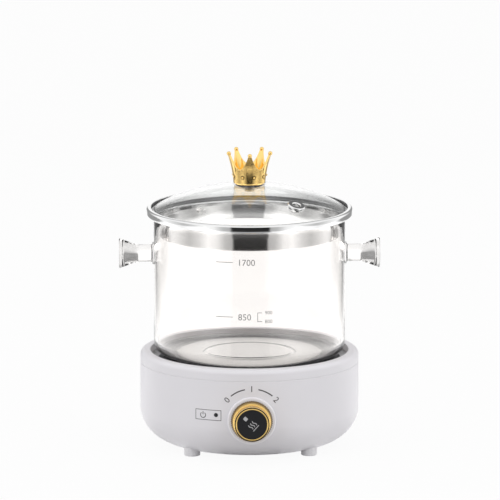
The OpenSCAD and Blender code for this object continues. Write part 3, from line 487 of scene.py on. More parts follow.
# Finishes


class Wire:
    """A value in a tree of shader nodes. Arithmetic on it adds Math nodes."""

    def __init__(self, graph, node, output):
        self.graph = graph
        self.owner = node
        self.socket = node.outputs[output]

    def out(self, output):
        return Wire(self.graph, self.owner, output)

    def __add__(self, other):
        return self.graph.maths("ADD", self, other)

    def __sub__(self, other):
        return self.graph.maths("SUBTRACT", self, other)

    def __rsub__(self, other):
        return self.graph.maths("SUBTRACT", other, self)

    def __mul__(self, other):
        return self.graph.maths("MULTIPLY", self, other)

    def __truediv__(self, other):
        return self.graph.maths("DIVIDE", self, other)

    def __pow__(self, other):
        return self.graph.maths("POWER", self, other)

    __radd__ = __add__
    __rmul__ = __mul__


class Graph:
    """A tree of shader nodes, built node by node."""

    def __init__(self, tree):
        self.tree = tree

    def feed(self, socket, value):
        if isinstance(value, Wire):
            self.tree.links.new(value.socket, socket)
        elif socket.type == "RGBA" and len(value) == 3:
            socket.default_value = (*value, 1.0)
        else:
            socket.default_value = value

    def node(self, kind, options=None, values=(), output=0):
        """Adds any node: its options first, then the values or wires of its sockets, by place or by name."""
        node = self.tree.nodes.new(kind)
        for key, value in (options or {}).items():
            if key == "stops":
                ramp = node.color_ramp.elements
                ramp[0].color, ramp[1].color = (*value[0][1], 1.0), (*value[-1][1], 1.0)
                for at, colour in value[1:-1]:
                    ramp.new(at).color = (*colour, 1.0)
            else:
                setattr(node, key, value)
        pairs = values.items() if isinstance(values, dict) else enumerate(values)
        for key, value in pairs:
            self.feed(node.inputs[key], value)
        return Wire(self, node, output)

    def maths(self, operation, *values):
        return self.node("ShaderNodeMath", {"operation": operation}, values)

    def spread(self, value, low, high, out_low, out_high):
        """Maps a range of values to another, and clamps it."""
        return self.node("ShaderNodeMapRange", None, (value, low, high, out_low, out_high))

    def blend(self, factor, a, b):
        """Mixes two numbers."""
        return self.node("ShaderNodeMix", {"data_type": "FLOAT"}, {0: factor, 2: a, 3: b})

    def panorama(self, x, y):
        """The studio round the pot, by direction: dark in front, then a bright window to each side of it."""
        front = [(0.442, 0.02), (0.437, 0.4), (0.415, 0.45), (0.385, 0.8), (0.355, 0.9)]
        side = [(0.32, 0.62), (0.28, 0.44), (0.203, 0.78), (0.144, 0.9)]
        back = [(0.09, 0.35), (0.05, 0.25), (0.03, 0.6), (0.0, 0.6)]
        half = front + side + back
        stops = half[::-1] + [(1.0 - at, level) for at, level in half]
        turn = self.maths("ARCTAN2", x, y * -1.0) / TURN + 0.5
        return self.node("ShaderNodeValToRGB", {"stops": [(at, (v, v, v)) for at, v in stops]}, (turn,))


class Finish(Graph):
    """A material with one Principled shader."""

    def __init__(self, name, **constants):
        self.material = bpy.data.materials.new(name)
        self.material.use_nodes = True
        super().__init__(self.material.node_tree)
        self.shader = next(n for n in self.tree.nodes if n.type == "BSDF_PRINCIPLED")
        self.output = next(n for n in self.tree.nodes if n.type == "OUTPUT_MATERIAL")
        for key, value in constants.items():
            self.set(key.replace("_", " "), value)

    def set(self, socket, value):
        """Sets a socket of the shader, by its name in any case, to a constant or a wire."""
        found = next(s for s in self.shader.inputs if s.name.lower() == socket.lower())
        self.feed(found, value)

    def place(self):
        """The point on the piece, in metres."""
        return self.node("ShaderNodeTexCoord", output="Object")

    def axes(self, centre=(0.0, 0.0, 0.0)):
        """The point's three coordinates from a centre."""
        moved = self.node("ShaderNodeVectorMath", {"operation": "SUBTRACT"}, (self.place(), centre))
        split = self.node("ShaderNodeSeparateXYZ", None, (moved,))
        return split, split.out("Y"), split.out("Z")

    def vector(self, x=0.0, y=0.0, z=0.0):
        return self.node("ShaderNodeCombineXYZ", None, (x, y, z))

    def noise(self, scale, detail=2.0, where=None, roughness=0.5):
        """Soft noise from 0 to 1."""
        return self.node(
            "ShaderNodeTexNoise",
            None,
            {"Vector": where or self.place(), "Scale": scale, "Detail": detail, "Roughness": roughness},
        )

    def mix(self, factor, a, b):
        """Mixes two colours."""
        values = {"Factor": factor, 6: a, 7: b}
        return self.node("ShaderNodeMix", {"data_type": "RGBA"}, values, output=2)

    def tone(self, factor, colour, low, high):
        """A colour that varies from a darker to a lighter shade of it."""
        return self.mix(factor, shade(colour, low), shade(colour, high))

    def gloss(self, value, low, high):
        """Roughness that follows a noise."""
        self.set("Roughness", self.spread(value, 0.3, 0.7, low, high))

    def bump(self, height, depth, strength=1.0):
        """Relief of a depth in metres."""
        values = {"Strength": strength, "Distance": depth, "Height": height}
        self.set("Normal", self.node("ShaderNodeBump", None, values))

    def show(self, factor, other):
        """Mixes another shader over the Principled one, and shows both."""
        both = self.node("ShaderNodeMixShader", None, (factor, Wire(self, self.shader, "BSDF"), other))
        self.tree.links.new(both.socket, self.output.inputs["Surface"])

    def let_lamps_through(self, colour):
        """Lets the lamps' light pass glass, so that what stands behind it is lit."""
        clear = self.node("ShaderNodeBsdfTransparent", None, {"Color": colour})
        self.show(self.node("ShaderNodeLightPath", output="Is Shadow Ray"), clear)


def far(a, b):
    """The distance of a point from an axis, by its two coordinates."""
    return (a * a + b * b) ** 0.5


def shade(colour, factor):
    return tuple(min(1.0, c * factor) for c in colour)


made = {}


def finish(name, build, *values):
    """A finish is built once, and shared by the pieces that have it."""
    if name not in made:
        made[name] = build(name, *values).material
    return made[name]


def pot_glass_finish(name, colour, painted_shade_from):
    """Clear drawn glass with faint waves. The thick ends of the handles are painted greyer, a painted shade.
    """
    f = Finish(name, transmission_weight=1.0, ior=1.47)
    x, y, z = f.axes()
    # Painted shade: the glass is tinted greyer towards the handles' ends.
    thick = f.spread(f.maths("ABSOLUTE", x), painted_shade_from, painted_shade_from + 6 * MM, 0.0, 1.0)
    f.set("Base Color", f.mix(thick, colour, shade(colour, 0.8)))
    radius = far(x, y)
    smear = f.noise(38.0, 3.0)
    f.set("Roughness", f.spread(smear, 0.55, 0.8, 0.0, 0.035))
    ripple = f.noise(1.0, 2.0, f.vector(radius * 260.0, z * 40.0, x * 6.0))
    f.bump(ripple, 0.05 * MM, 0.35)
    f.let_lamps_through(shade(colour, 0.97))
    return f


def lid_glass_finish(name, colour):
    f = Finish(name, base_color=colour, transmission_weight=1.0, ior=1.5)
    f.set("Roughness", f.spread(f.noise(30.0, 3.0), 0.55, 0.85, 0.0, 0.03))
    f.bump(f.noise(22.0, 1.0), 0.04 * MM, 0.3)
    f.let_lamps_through(shade(colour, 0.95))
    return f


def polished_finish(name, colour, roughness):
    """Spun and polished sheet: fine rings round the axis, and faint wiped haze."""
    f = Finish(name, metallic=1.0)
    x, y, z = f.axes()
    radius = far(x, y)
    rings = f.noise(1.0, 4.0, f.vector(radius * 5200.0, z * 5200.0, 0.0))
    haze = f.noise(45.0, 3.0)
    f.set("Base Color", f.tone(rings, colour, 0.94, 1.03))
    f.gloss(haze * 0.6 + rings * 0.4, roughness * 0.6, roughness * 1.6)
    f.bump(rings, 0.004 * MM, 0.25)
    return f


def plating(f, colour, roughness):
    """Plated casting: a slight unevenness, and darker plating where it is thin. Gives back its colour."""
    cloud = f.noise(160.0, 3.0)
    grain = f.noise(1400.0, 2.0)
    f.gloss(cloud * 0.5 + grain * 0.5, roughness * 0.7, roughness * 1.5)
    f.bump(grain, 0.008 * MM, 0.3)
    return f.tone(cloud, colour, 0.9, 1.06)


def crown_gold_finish(name, colour, beads, bead_r, bead_z, ring_r):
    """Gold plating, with painted shade in the crevice round each bead."""
    f = Finish(name, metallic=1.0)
    plate = plating(f, colour, 0.09)
    x, y, z = f.axes((0.0, 0.0, bead_z))
    turn = f.maths("ARCTAN2", y, x) / (TURN / beads)
    first = CROWN_BEAD_TURN / (360 / beads)
    apart = f.maths("PINGPONG", turn - first, 0.5) * (TURN / beads * ring_r)
    off = far(apart, z)
    # Painted shade: the gold is darkened almost to black in a ring round each bead, where the crevice is.
    painted_crevice_shade = f.spread(off, bead_r * 0.85, bead_r, 0.0, 1.0)
    painted_crevice_shade = painted_crevice_shade * f.spread(off, bead_r * 1.3, bead_r * 1.9, 1.0, 0.0)
    f.set("Base Color", f.mix(painted_crevice_shade * 0.95, plate, shade(colour, 0.08)))
    return f


def knob_gold_finish(name, colour, axis_z, rim, drum_r, flange):
    """Gold plating, with painted shade: a black ledge round the front rim, and darker gold out on the
    knurls.
    """
    f = Finish(name)
    plate = plating(f, colour, 0.13)
    x, _, z = f.axes((0.0, 0.0, axis_z))
    radius = far(x, z)
    # Painted shade: the gold darkens outwards over the knurls.
    knurls = f.spread(radius, drum_r + 0.6 * MM, flange - 0.8 * MM, 0.1, 0.97)
    # Painted shade: a black, non-metal ring on the ledge between the front rim and the drum, where the
    # groove is.
    inner_edge = f.spread(radius, rim, rim + 0.1 * MM, 0.0, 1.0)
    ledge = inner_edge * f.spread(radius, drum_r - 0.3 * MM, drum_r - 0.15 * MM, 1.0, 0.0)
    plate_with_painted_shade = f.mix(knurls, plate, shade(colour, 0.2))
    f.set("Base Color", f.mix(ledge, plate_with_painted_shade, (0.012, 0.010, 0.007)))
    f.set("Metallic", 1.0 - ledge)
    return f


def plastic_finish(name, colour, roughness, grain_depth=0.012 * MM):
    """Moulded plastic: fine spark-eroded grain, and faint flow marks."""
    f = Finish(name, specular_ior_level=0.38)
    grain = f.noise(2600.0, 2.0)
    flow = f.noise(26.0, 3.0)
    f.set("Base Color", f.tone(flow, colour, 0.975, 1.02))
    f.gloss(grain * 0.55 + flow * 0.45, roughness * 0.85, roughness * 1.2)
    f.bump(grain, grain_depth, 0.5)
    return f


def turned_finish(name, colour, roughness, pitch=0.9 * MM):
    """Cast metal with a turned face: fine rings of the tool, and a cast cloudiness."""
    f = Finish(name, metallic=1.0)
    x, y, _ = f.axes()
    radius = far(x, y)
    tool = f.maths("SINE", radius * (TURN / pitch))
    cloud = f.noise(300.0, 4.0)
    f.set("Base Color", f.tone(cloud, colour, 0.88, 1.06))
    f.gloss(cloud, roughness * 0.85, roughness * 1.2)
    f.bump(tool * 0.5 + cloud * 0.5, 0.03 * MM, 0.4)
    return f


def tray_finish(name, colour, metal, floor_r):
    """A pressed dish with a dull enamelled floor and a bare brushed wall."""
    f = Finish(name, specular_ior_level=0.12)
    x, y, z = f.axes()
    radius = far(x, y)
    bare = f.spread(radius, floor_r - 0.2 * MM, floor_r + 0.5 * MM, 0.0, 1.0)
    rings = f.noise(1.0, 3.0, f.vector(radius * 3600.0, z * 3600.0, 0.0))
    brushed = f.tone(rings, metal, 0.7, 1.05)
    speck = f.noise(900.0, 2.0)
    coat = f.tone(speck, colour, 0.8, 1.3)
    f.set("Base Color", f.mix(bare, coat, brushed))
    f.set("Metallic", bare)
    f.set("Roughness", f.spread(speck, 0.3, 0.7, 0.48, 0.6) - bare * 0.25)
    f.bump(speck, 0.01 * MM, 0.4)
    return f


def ink_finish(name, colour):
    """Screen-printed ink: slightly uneven cover."""
    f = Finish(name)
    cover = f.noise(1800.0, 2.0)
    f.set("Base Color", f.tone(cover, colour, 0.8, 1.25))
    f.gloss(cover, 0.4, 0.55)
    return f


def plain_finish(name, colour, metallic, roughness, scale):
    """A finish of an inner piece: its colour and gloss vary a little."""
    f = Finish(name, metallic=metallic)
    cloud = f.noise(scale, 3.0)
    f.set("Base Color", f.tone(cloud, colour, 0.82, 1.12))
    f.gloss(cloud, roughness * 0.8, roughness * 1.25)
    f.bump(cloud, 0.02 * MM, 0.4)
    return f


def steel():
    return finish("polished_band_steel", polished_finish, settings().colours.steel, 0.07)


def white():
    return finish("satin_white_plastic", plastic_finish, settings().colours.white, 0.42)


INNER = {
    "zinc_steel": ((0.55, 0.56, 0.58), 1.0, 0.32, 420.0),
    "sheath_steel": ((0.30, 0.27, 0.23), 1.0, 0.45, 300.0),
    "contact_brass": ((0.70, 0.50, 0.20), 1.0, 0.3, 500.0),
    "brown_bakelite": ((0.075, 0.04, 0.024), 0.0, 0.42, 700.0),
    "ivory_ceramic": ((0.72, 0.66, 0.54), 0.0, 0.6, 800.0),
    "dark_silicone": ((0.025, 0.025, 0.027), 0.0, 0.55, 900.0),
    "black_plastic": ((0.022, 0.022, 0.024), 0.0, 0.4, 1500.0),
    "foot_rubber": ((0.86, 0.85, 0.87), 0.0, 0.6, 1200.0),
}


def inner(slot):
    return finish(slot, plain_finish, *INNER[slot])


# Operators


class PieceOperator:
    """What the operators share: a sidebar button that can be undone."""

    bl_options = {"REGISTER", "UNDO"}


class GLASSPOT_OT_stage(PieceOperator, bpy.types.Operator):
    """Makes the camera, the pale floor and the soft light"""

    bl_idname = "glasspot.stage"
    bl_label = "Studio"

    def execute(self, context):
        s = settings().studio
        self.camera(s)
        self.floor()
        self.lights(s)
        return {"FINISHED"}

    def camera(self, s):
        aim = Vector((0.5 * MM, 0, s.aim_z))
        back = Vector(
            (
                math.sin(s.azimuth) * math.cos(s.elevation),
                -math.cos(s.azimuth) * math.cos(s.elevation),
                math.sin(s.elevation),
            )
        )
        bpy.ops.object.camera_add(location=aim + back * s.distance)
        camera = bpy.context.object
        camera.rotation_euler = (-back).to_track_quat("-Z", "Y").to_euler()
        sensor = 36.0
        camera.data.sensor_width = sensor
        camera.data.lens = sensor * s.distance / s.field
        camera.data.clip_end = 100.0
        bpy.context.scene.camera = camera

    def floor(self):
        """A sheet that lies under the pot and curves up behind it."""
        half, fore, bend = 1.05, 0.7, 0.4
        sweep = new_piece("floor_sweep", bpy.ops.mesh.primitive_plane_add, size=2 * half)
        with Editing():
            bpy.ops.transform.translate(value=(0, half - fore, 0))
            bpy.ops.mesh.select_all(action="DESELECT")
        end = max(v.co.y for v in sweep.data.vertices)
        for edge in sweep.data.edges:
            edge.select = all(sweep.data.vertices[i].co.y > end - MM for i in edge.vertices)
        points = [Vector((0, y, z)) for y, z in bow(end, bend, bend, -90, 0, 10)]
        points.append(points[-1] + Vector((0, 0, 2 * half)))
        with Editing():
            for a, b in zip(points, points[1:]):
                bpy.ops.mesh.extrude_region_move(TRANSFORM_OT_translate={"value": b - a})
        bpy.ops.object.shade_smooth_by_angle(angle=SMOOTH_ANGLE)
        sweep.data.materials.append(self.paper().material)

    def paper(self):
        """Pale paper that the camera sees as white. Metal and glass see the studio's levels in it."""
        pale, glow_share = 0.66, 0.94
        f = Finish("pale_floor", base_color=(pale, pale, pale), roughness=0.9)
        x, y, z = f.axes()
        path = f.node("ShaderNodeLightPath", output="Is Camera Ray")
        glossy, through = path.out("Is Glossy Ray"), path.out("Is Transmission Ray")
        bent = glossy + through * (1.0 - glossy)
        mirrored = f.maths("MINIMUM", path.out("Glossy Depth"), 1.0)
        ring = f.panorama(x, y)
        close = f.spread(far(x, y), 0.5, 0.66, 0.4, 0.0)
        in_metal = ring * 1.7 + 0.4
        in_glass = ring * (close * 2.0 + settings().studio.world) + close
        front = f.blend(mirrored, 1.0, f.blend(through, in_metal, in_glass))
        behind = f.spread(f.maths("ABSOLUTE", x), 0.24, 0.42, 1.15, 0.35)
        behind = behind * f.spread(z, 0.9, 1.6, 1.0, 0.45)
        lane = f.blend(f.spread(y, 0.25, 0.5, 0.0, 1.0), front, behind)
        strength = path + bent * lane * (1.0 - path)
        glow = f.node("ShaderNodeEmission", None, {"Color": (1, 1, 1), "Strength": strength})
        f.show(f.maths("MAXIMUM", path, bent) * glow_share, glow)
        return f

    def lights(self, s):
        """Soft light from all round, and three softboxes that no polished piece mirrors."""
        world = bpy.data.worlds.new("studio_air")
        bpy.context.scene.world = world
        world.use_nodes = True
        g = Graph(world.node_tree)
        air = next(n for n in g.tree.nodes if n.type == "BACKGROUND")
        where = g.node("ShaderNodeSeparateXYZ", None, (g.node("ShaderNodeTexCoord", output="Generated"),))
        back, up = where.out("Y"), where.out("Z")
        path = g.node("ShaderNodeLightPath", output="Is Camera Ray")
        ceiling, band_level = 0.8, 0.85
        ring = g.blend(g.spread(up, 0.3, 0.7, 0.0, 0.8), g.panorama(where, back), ceiling)
        band = g.spread(up, 0.12, 0.25, 0.0, 1.0) * g.spread(up, 0.55, 0.75, 1.0, 0.0)
        band = band * g.spread(back, -0.1, 0.2, 1.0, 0.0)
        ring = g.blend(band * path.out("Is Glossy Ray"), ring, band_level)
        clear = path.out("Is Transmission Ray") * (1.0 - g.maths("MINIMUM", path.out("Glossy Depth"), 1.0))
        g.feed(air.inputs["Strength"], g.blend(g.maths("MAXIMUM", path, clear), ring * s.world, 1.0))
        air.inputs["Color"].default_value = (1, 1, 1, 1)
        for side in (-1, 1):
            self.softbox(f"softbox_{side}", (side * 1.5, -1.5, 1.1), (1.1, 1.9), s.softbox)
        self.softbox("softbox_top", (0, 0.2, 2.1), (1.8, 1.4), s.softbox * 0.8)

    def softbox(self, name, place_at, size, power):
        bpy.ops.object.light_add(type="AREA", location=place_at)
        lamp = bpy.context.object
        lamp.name = name
        lamp.data.shape = "RECTANGLE"
        lamp.data.size, lamp.data.size_y = size
        lamp.data.energy = power
        lamp.visible_glossy = False
        lamp.visible_transmission = False
        aim = Vector((0, 0, 0.12)) - Vector(place_at)
        lamp.rotation_euler = aim.to_track_quat("-Z", "Y").to_euler()


class GLASSPOT_OT_lid_glass(PieceOperator, bpy.types.Operator):
    """Makes the domed glass of the lid and its steam vent"""

    bl_idname = "glasspot.lid_glass"
    bl_label = "Lid glass and vent"

    def execute(self, context):
        s = settings().lid
        z1 = top_of("lid_band") - LID_GLASS_DROP
        z0 = z1 - s.glass_t
        sphere = (s.dome**2 + s.dome_h**2) / (2 * s.dome_h)
        cz = z1 + s.dome_h - sphere
        under = sphere - s.glass_t
        hole = 3.0 * MM
        edge = 0.6 * MM
        top_a = math.degrees(math.acos(s.flat / sphere))
        rim_a = math.degrees(math.acos(s.dome / sphere))
        low_a = math.degrees(math.asin((z0 - cz) / under))
        in_a = math.degrees(math.acos(hole / under))
        flat_z = cz + math.sqrt(sphere**2 - s.flat**2)
        outline = (
            [(hole, flat_z)]
            + bow(0, cz, sphere, top_a, rim_a, 44)
            + bow(s.glass - edge, z1 - edge, edge, 90, 0, 4)
            + bow(s.glass - edge, z0 + edge, edge, 0, -90, 4)
            + bow(0, cz, under, low_a, in_a, 44)
        )
        glass = lathe("lid_dome", outline)
        tilt = math.degrees(math.asin(s.vent_at / sphere))
        hole_tool = drum("vent_hole", 4.4 * MM, sphere - 9 * MM, sphere + 5 * MM)
        combine(glass, self.on_dome(hole_tool, tilt, cz), "DIFFERENCE")
        clear = finish("lid_clear_glass", lid_glass_finish, settings().colours.lid_glass)
        done(glass, "lid", "clear_glass", clear, "lid_glass")
        self.vent(sphere, tilt, cz)
        return {"FINISHED"}

    def on_dome(self, piece, tilt, cz):
        """Tilts a piece from the dome's middle to the vent's place."""
        place(piece, turn=(0, tilt, 0))
        return place(piece, turn=(0, 0, VENT_TURN), move=(0, 0, cz))

    def vent(self, sphere, tilt, cz):
        """A riveted eyelet: a rounded flange, a throat, and a rolled foot under the glass."""
        bore, tube, flange, thick = 3.0 * MM, 4.3 * MM, 7.5 * MM, 1.6 * MM
        foot = 5.9 * MM
        foot_z = math.sqrt((sphere - 4 * MM) ** 2 - foot**2)
        top = sphere
        sheet, air, sunk = 0.8 * MM, 0.05 * MM, 0.1 * MM
        edge, mouth, dip = 0.9 * MM, 1.1 * MM, 0.35 * MM
        low, high = foot_z - air, top - sunk
        outline = (
            [(bore, foot_z - sheet), (foot, foot_z - sheet), (foot, low)]
            + [(tube, low), (tube, high), (flange, high)]
            + arc(flange - edge, top + sunk, edge, thick - sunk, 0, 90, 8)
            + [(flange - 1.9 * MM, top + thick - 0.25 * MM)]
            + arc(bore + mouth, top + dip, mouth, thick - dip, 90, 180, 8)
        )
        vent = self.on_dome(lathe("steam_vent", outline, 96), tilt, cz)
        done(vent, "lid", "band_steel", steel(), "vent_eyelet")


class GLASSPOT_OT_lid_band(PieceOperator, bpy.types.Operator):
    """Makes the steel band of the lid and its gasket"""

    bl_idname = "glasspot.lid_band"
    bl_label = "Lid band and gasket"

    def execute(self, context):
        s = settings().lid
        pot = settings().pot
        rim = pot.rim
        roll, turn = 1.8 * MM, 2.2 * MM
        ledge = pot.radius + 0.6 * MM
        lip = s.radius - 3.4 * MM
        mid = s.top - roll
        t = s.sheet

        def side(inset):
            low = bow(s.radius - turn, rim + turn, turn - inset, -90, 0, 12)
            high = bow(s.radius - roll, mid, roll - inset, 0, 90, 12)
            return [(ledge, rim + inset)] + low + high

        hem = t / 2
        fillet = 1.0 * MM
        outline = (
            bow(s.skirt - hem, s.skirt_foot + hem, hem, -180, 0, 8)
            + rows((s.skirt, s.skirt_foot + hem), (s.skirt, s.skirt_foot + 2 * hem), 1)
            + rows((s.skirt, s.skirt_foot + 2 * hem), (s.skirt, rim - fillet - hem), 6)
            + bow(s.skirt + fillet, rim - fillet, fillet, 180, 90, 6)
            + side(0)
            + bow(lip, s.top - hem, hem, 90, 270, 6)
            + side(t)[::-1]
            + bow(s.skirt + fillet, rim - fillet, fillet + t, 90, 180, 6)
        )
        band = lathe("lid_rim", outline)
        done(band, "lid", "band_steel", steel(), "lid_band")
        inset = t + 0.05 * MM
        z1 = s.top - LID_GLASS_DROP
        z0 = z1 - s.glass_t
        inner_lip, web, air = lip - 0.7 * MM, s.glass + 0.05 * MM, 0.02 * MM
        outline = (
            [(s.skirt, rim + inset)]
            + side(inset)
            + [(inner_lip, s.top - inset), (inner_lip, z1 + air), (web, z1 + air)]
            + [(web, z0), (s.skirt, z0)]
        )
        gasket = lathe("lid_seal", outline)
        seal = finish("grey_silicone", plain_finish, (0.17, 0.17, 0.175), 0.0, 0.45, 900.0)
        done(gasket, "lid", "dark_silicone", seal, "lid_gasket")
        return {"FINISHED"}


class GLASSPOT_OT_crown(PieceOperator, bpy.types.Operator):
    """Makes the crown-shaped knob of the lid"""

    bl_idname = "glasspot.crown"
    bl_label = "Crown knob"

    def execute(self, context):
        s = settings().lid
        low = foot_of("crown_knob")
        reach = s.crown_tip * math.sin(math.pi / s.spikes - math.asin(s.spike_w / 2 / s.crown_tip))
        rise = s.crown_h - s.crown_valley
        lip = 0.5 * MM
        floor = 3 * MM
        boss, boss_h = 4.2 * MM, 9.5 * MM
        foot = 2 * MM

        def flare(z):
            t = z / s.crown_h
            return s.crown_foot + (s.crown_tip - s.crown_foot) * (0.35 * t + 0.65 * t * t)

        def edge(theta):
            """Height of the rim in a direction: a valley's parabola, up to the spike's tip."""
            step = TURN / s.spikes
            off = (theta + math.pi / 2) % step - step / 2
            z = s.crown_valley
            for _ in range(12):
                z = min(s.crown_h, s.crown_valley + rise * (flare(z) * math.sin(abs(off)) / reach) ** 2)
            return z

        top = s.crown_valley
        base_z = floor + 1 * MM
        outer = [(flare(z), z) for _, z in rows((0, foot), (0, top - lip), 26)]
        fillet = 0.8 * MM
        down = rows((0, top - lip), (0, floor + fillet), 26)
        inner_wall = [(flare(z) - s.crown_wall, z) for _, z in down]
        half = s.crown_wall / 2
        outline = (
            [(0, 0), (s.crown_foot - foot - 1 * MM, 0)]
            + bow(flare(foot) - foot, foot, foot, -90, 0, 10)
            + outer
            + arc(flare(top) - half, top - lip, half, lip, 0, 180, 10)[1:-1]
            + [(flare(top - lip) - s.crown_wall, top - lip)]
            + inner_wall
            + [(flare(floor) - s.crown_wall - fillet, floor), (boss, floor), (boss, boss_h - 0.5 * MM)]
            + [(boss - 0.5 * MM, boss_h), (0, boss_h)]
        )
        crown = lathe("crown", outline, 400, ring=False)

        def raise_spikes(x, y, z):
            r = math.hypot(x, y)
            if z <= base_z or r < boss + 1 * MM:
                return x, y, z + low
            high = edge(math.atan2(y, x))
            if z > top - lip:
                new = high - (top - z)
            else:
                new = base_z + (z - base_z) * (high - lip - base_z) / (top - lip - base_z)
            scale = (r + flare(new) - flare(min(z, top))) / r
            return x * scale, y * scale, new + low

        shape(crown, raise_spikes)
        ball_r, bead_r, at = 1.79 * MM, 1.02 * MM, 7 * MM
        ball = self.ball("ball", ball_r, s.crown_h + low, 40, 24)
        combine(crown, copies(ball, s.spikes, s.crown_tip - half, -90), "UNION")
        bead = self.ball("bead", bead_r, at + low, 28, 16)
        combine(crown, copies(bead, s.beads, flare(at), CROWN_BEAD_TURN), "UNION")
        gold = settings().colours.gold
        plate = finish("crown_gold_plate", crown_gold_finish, gold, s.beads, bead_r, at + low, flare(at))
        done(crown, "lid", "gold_plate", plate, "crown_knob", angle=math.radians(50))
        return {"FINISHED"}

    def ball(self, name, radius, z, segments, rings):
        """A ball on the axis, at a height."""
        add = bpy.ops.mesh.primitive_uv_sphere_add
        ball = new_piece(name, add, segments=segments, ring_count=rings, radius=radius)
        return place(ball, move=(0, 0, z))


class GLASSPOT_OT_pot(PieceOperator, bpy.types.Operator):
    """Makes the glass pot with its two fused handles"""

    bl_idname = "glasspot.pot"
    bl_label = "Pot and handles"

    def execute(self, context):
        s = settings().pot
        r, ir = s.radius, s.radius - s.wall
        air = 0.05 * MM
        z0, zf = s.foot + air, s.foot + s.floor
        corner, inside = s.corner, s.corner - s.wall
        lip = s.wall / 2
        slope = 6 * MM

        def punt(level):
            start = s.punt - slope
            return [(start + slope * t, level + s.punt_rise * (1 - ease(t))) for t in shares(10)]

        outline = (
            [(0, z0 + s.punt_rise)]
            + punt(z0)
            + bow(r - corner, z0 + corner, corner, -90, 0, 24)
            + rows((r, z0 + corner), (r, s.rim - lip), 18)
            + bow(r - lip, s.rim - lip, lip, 0, 180, 10)[1:]
            + rows((ir, s.rim - lip), (ir, zf + inside), 4)
            + bow(ir - inside, zf + inside, inside, 0, -90, 20)[1:]
            + punt(zf)[::-1]
            + [(0, zf + s.punt_rise)]
        )
        pot = lathe("pot_with_handles", outline, ring=False)
        for side in (-1, 1):
            lug = lathe(f"lug_{side}", self.lug(s), 96, ring=False)
            place(lug, turn=(0, side * 90, 0), move=(side * s.radius, 0, s.handle_z))
            combine(pot, lug, "UNION")
        clear = finish("pot_clear_glass", pot_glass_finish, settings().colours.glass, r + 11 * MM)
        done(pot, "pot", "clear_glass", clear, "pot_glass", "left_handle", "right_handle")
        return {"FINISHED"}

    def lug(self, s):
        """Half outline of a trumpet-shaped lug, from inside the wall to its dished end."""
        root, neck, waist, end = s.handle_root, s.handle_neck, s.handle_waist, s.handle_end
        collar, edge = 1 * MM, 0.6 * MM
        fillet = root - neck - edge
        neck_z = collar + fillet
        waist_z, rounding, dish = 13 * MM, 1.0 * MM, 0.6 * MM
        flare_end = s.handle_len - rounding
        barrel = [
            (neck + (waist - neck) * t + 0.2 * MM * math.sin(math.pi * t), neck_z + (waist_z - neck_z) * t)
            for t in shares(16)[1:]
        ]
        flare = [
            (waist + (end - waist) * t**1.1, waist_z + (flare_end - waist_z) * t)
            for t in shares(16)[1:]
        ]
        rim = end - rounding
        bowl = [(rim * t, s.handle_len - dish * (1 - t * t)) for t in shares(12)[-2::-1]]
        return (
            [(0, -1.2 * MM), (root, -1.2 * MM), (root, collar - edge)]
            + bow(root - edge, collar - edge, edge, 0, 90, 6)
            + bow(root - edge, neck_z, fillet, -90, -180, 8)[1:]
            + barrel
            + flare
            + bow(rim, flare_end, rounding, 0, 90, 8)[1:]
            + bowl
        )


class GLASSPOT_OT_pot_marks(PieceOperator, bpy.types.Operator):
    """Prints the filling marks on the pot"""

    bl_idname = "glasspot.pot_marks"
    bl_label = "Filling marks"

    def execute(self, context):
        s = settings().pot
        high, low = s.foot + 95 * MM, s.foot + 49 * MM
        line = 0.5 * MM
        left, right = -30.0 * MM, -15.5 * MM
        parts = []
        for level in (high, low):
            path = [(left + (right - left) * t, level) for t in shares(8)]
            parts.append(strip("line", path, line))
        parts.append(slide(figures("figures", "1700", 5.2 * MM), -3.6 * MM, high))
        parts.append(slide(figures("figures", "850", 5.2 * MM), -5.6 * MM, low))
        x0, x1, rise = 5.2 * MM, 9.0 * MM, 3.7 * MM
        for side, text in ((1, "900"), (-1, "800")):
            bar = [(x0 - line / 2 + (x1 - x0) * t, low + side * rise) for t in shares(4)]
            parts.append(strip("bracket_bar", bar, line))
            parts.append(slide(figures("figures", text, 3.0 * MM), x1 + 5.4 * MM, low + side * rise))
        parts.append(strip("bracket", [(x0, low - rise), (x0, low), (x0, low + rise)], line))
        marks = called(wrap(join(*parts), s.radius), "filling_marks")
        grey = finish("grey_glass_print", ink_finish, settings().colours.glass_ink)
        done(marks, "pot", "dark_silicone", grey)
        return {"FINISHED"}


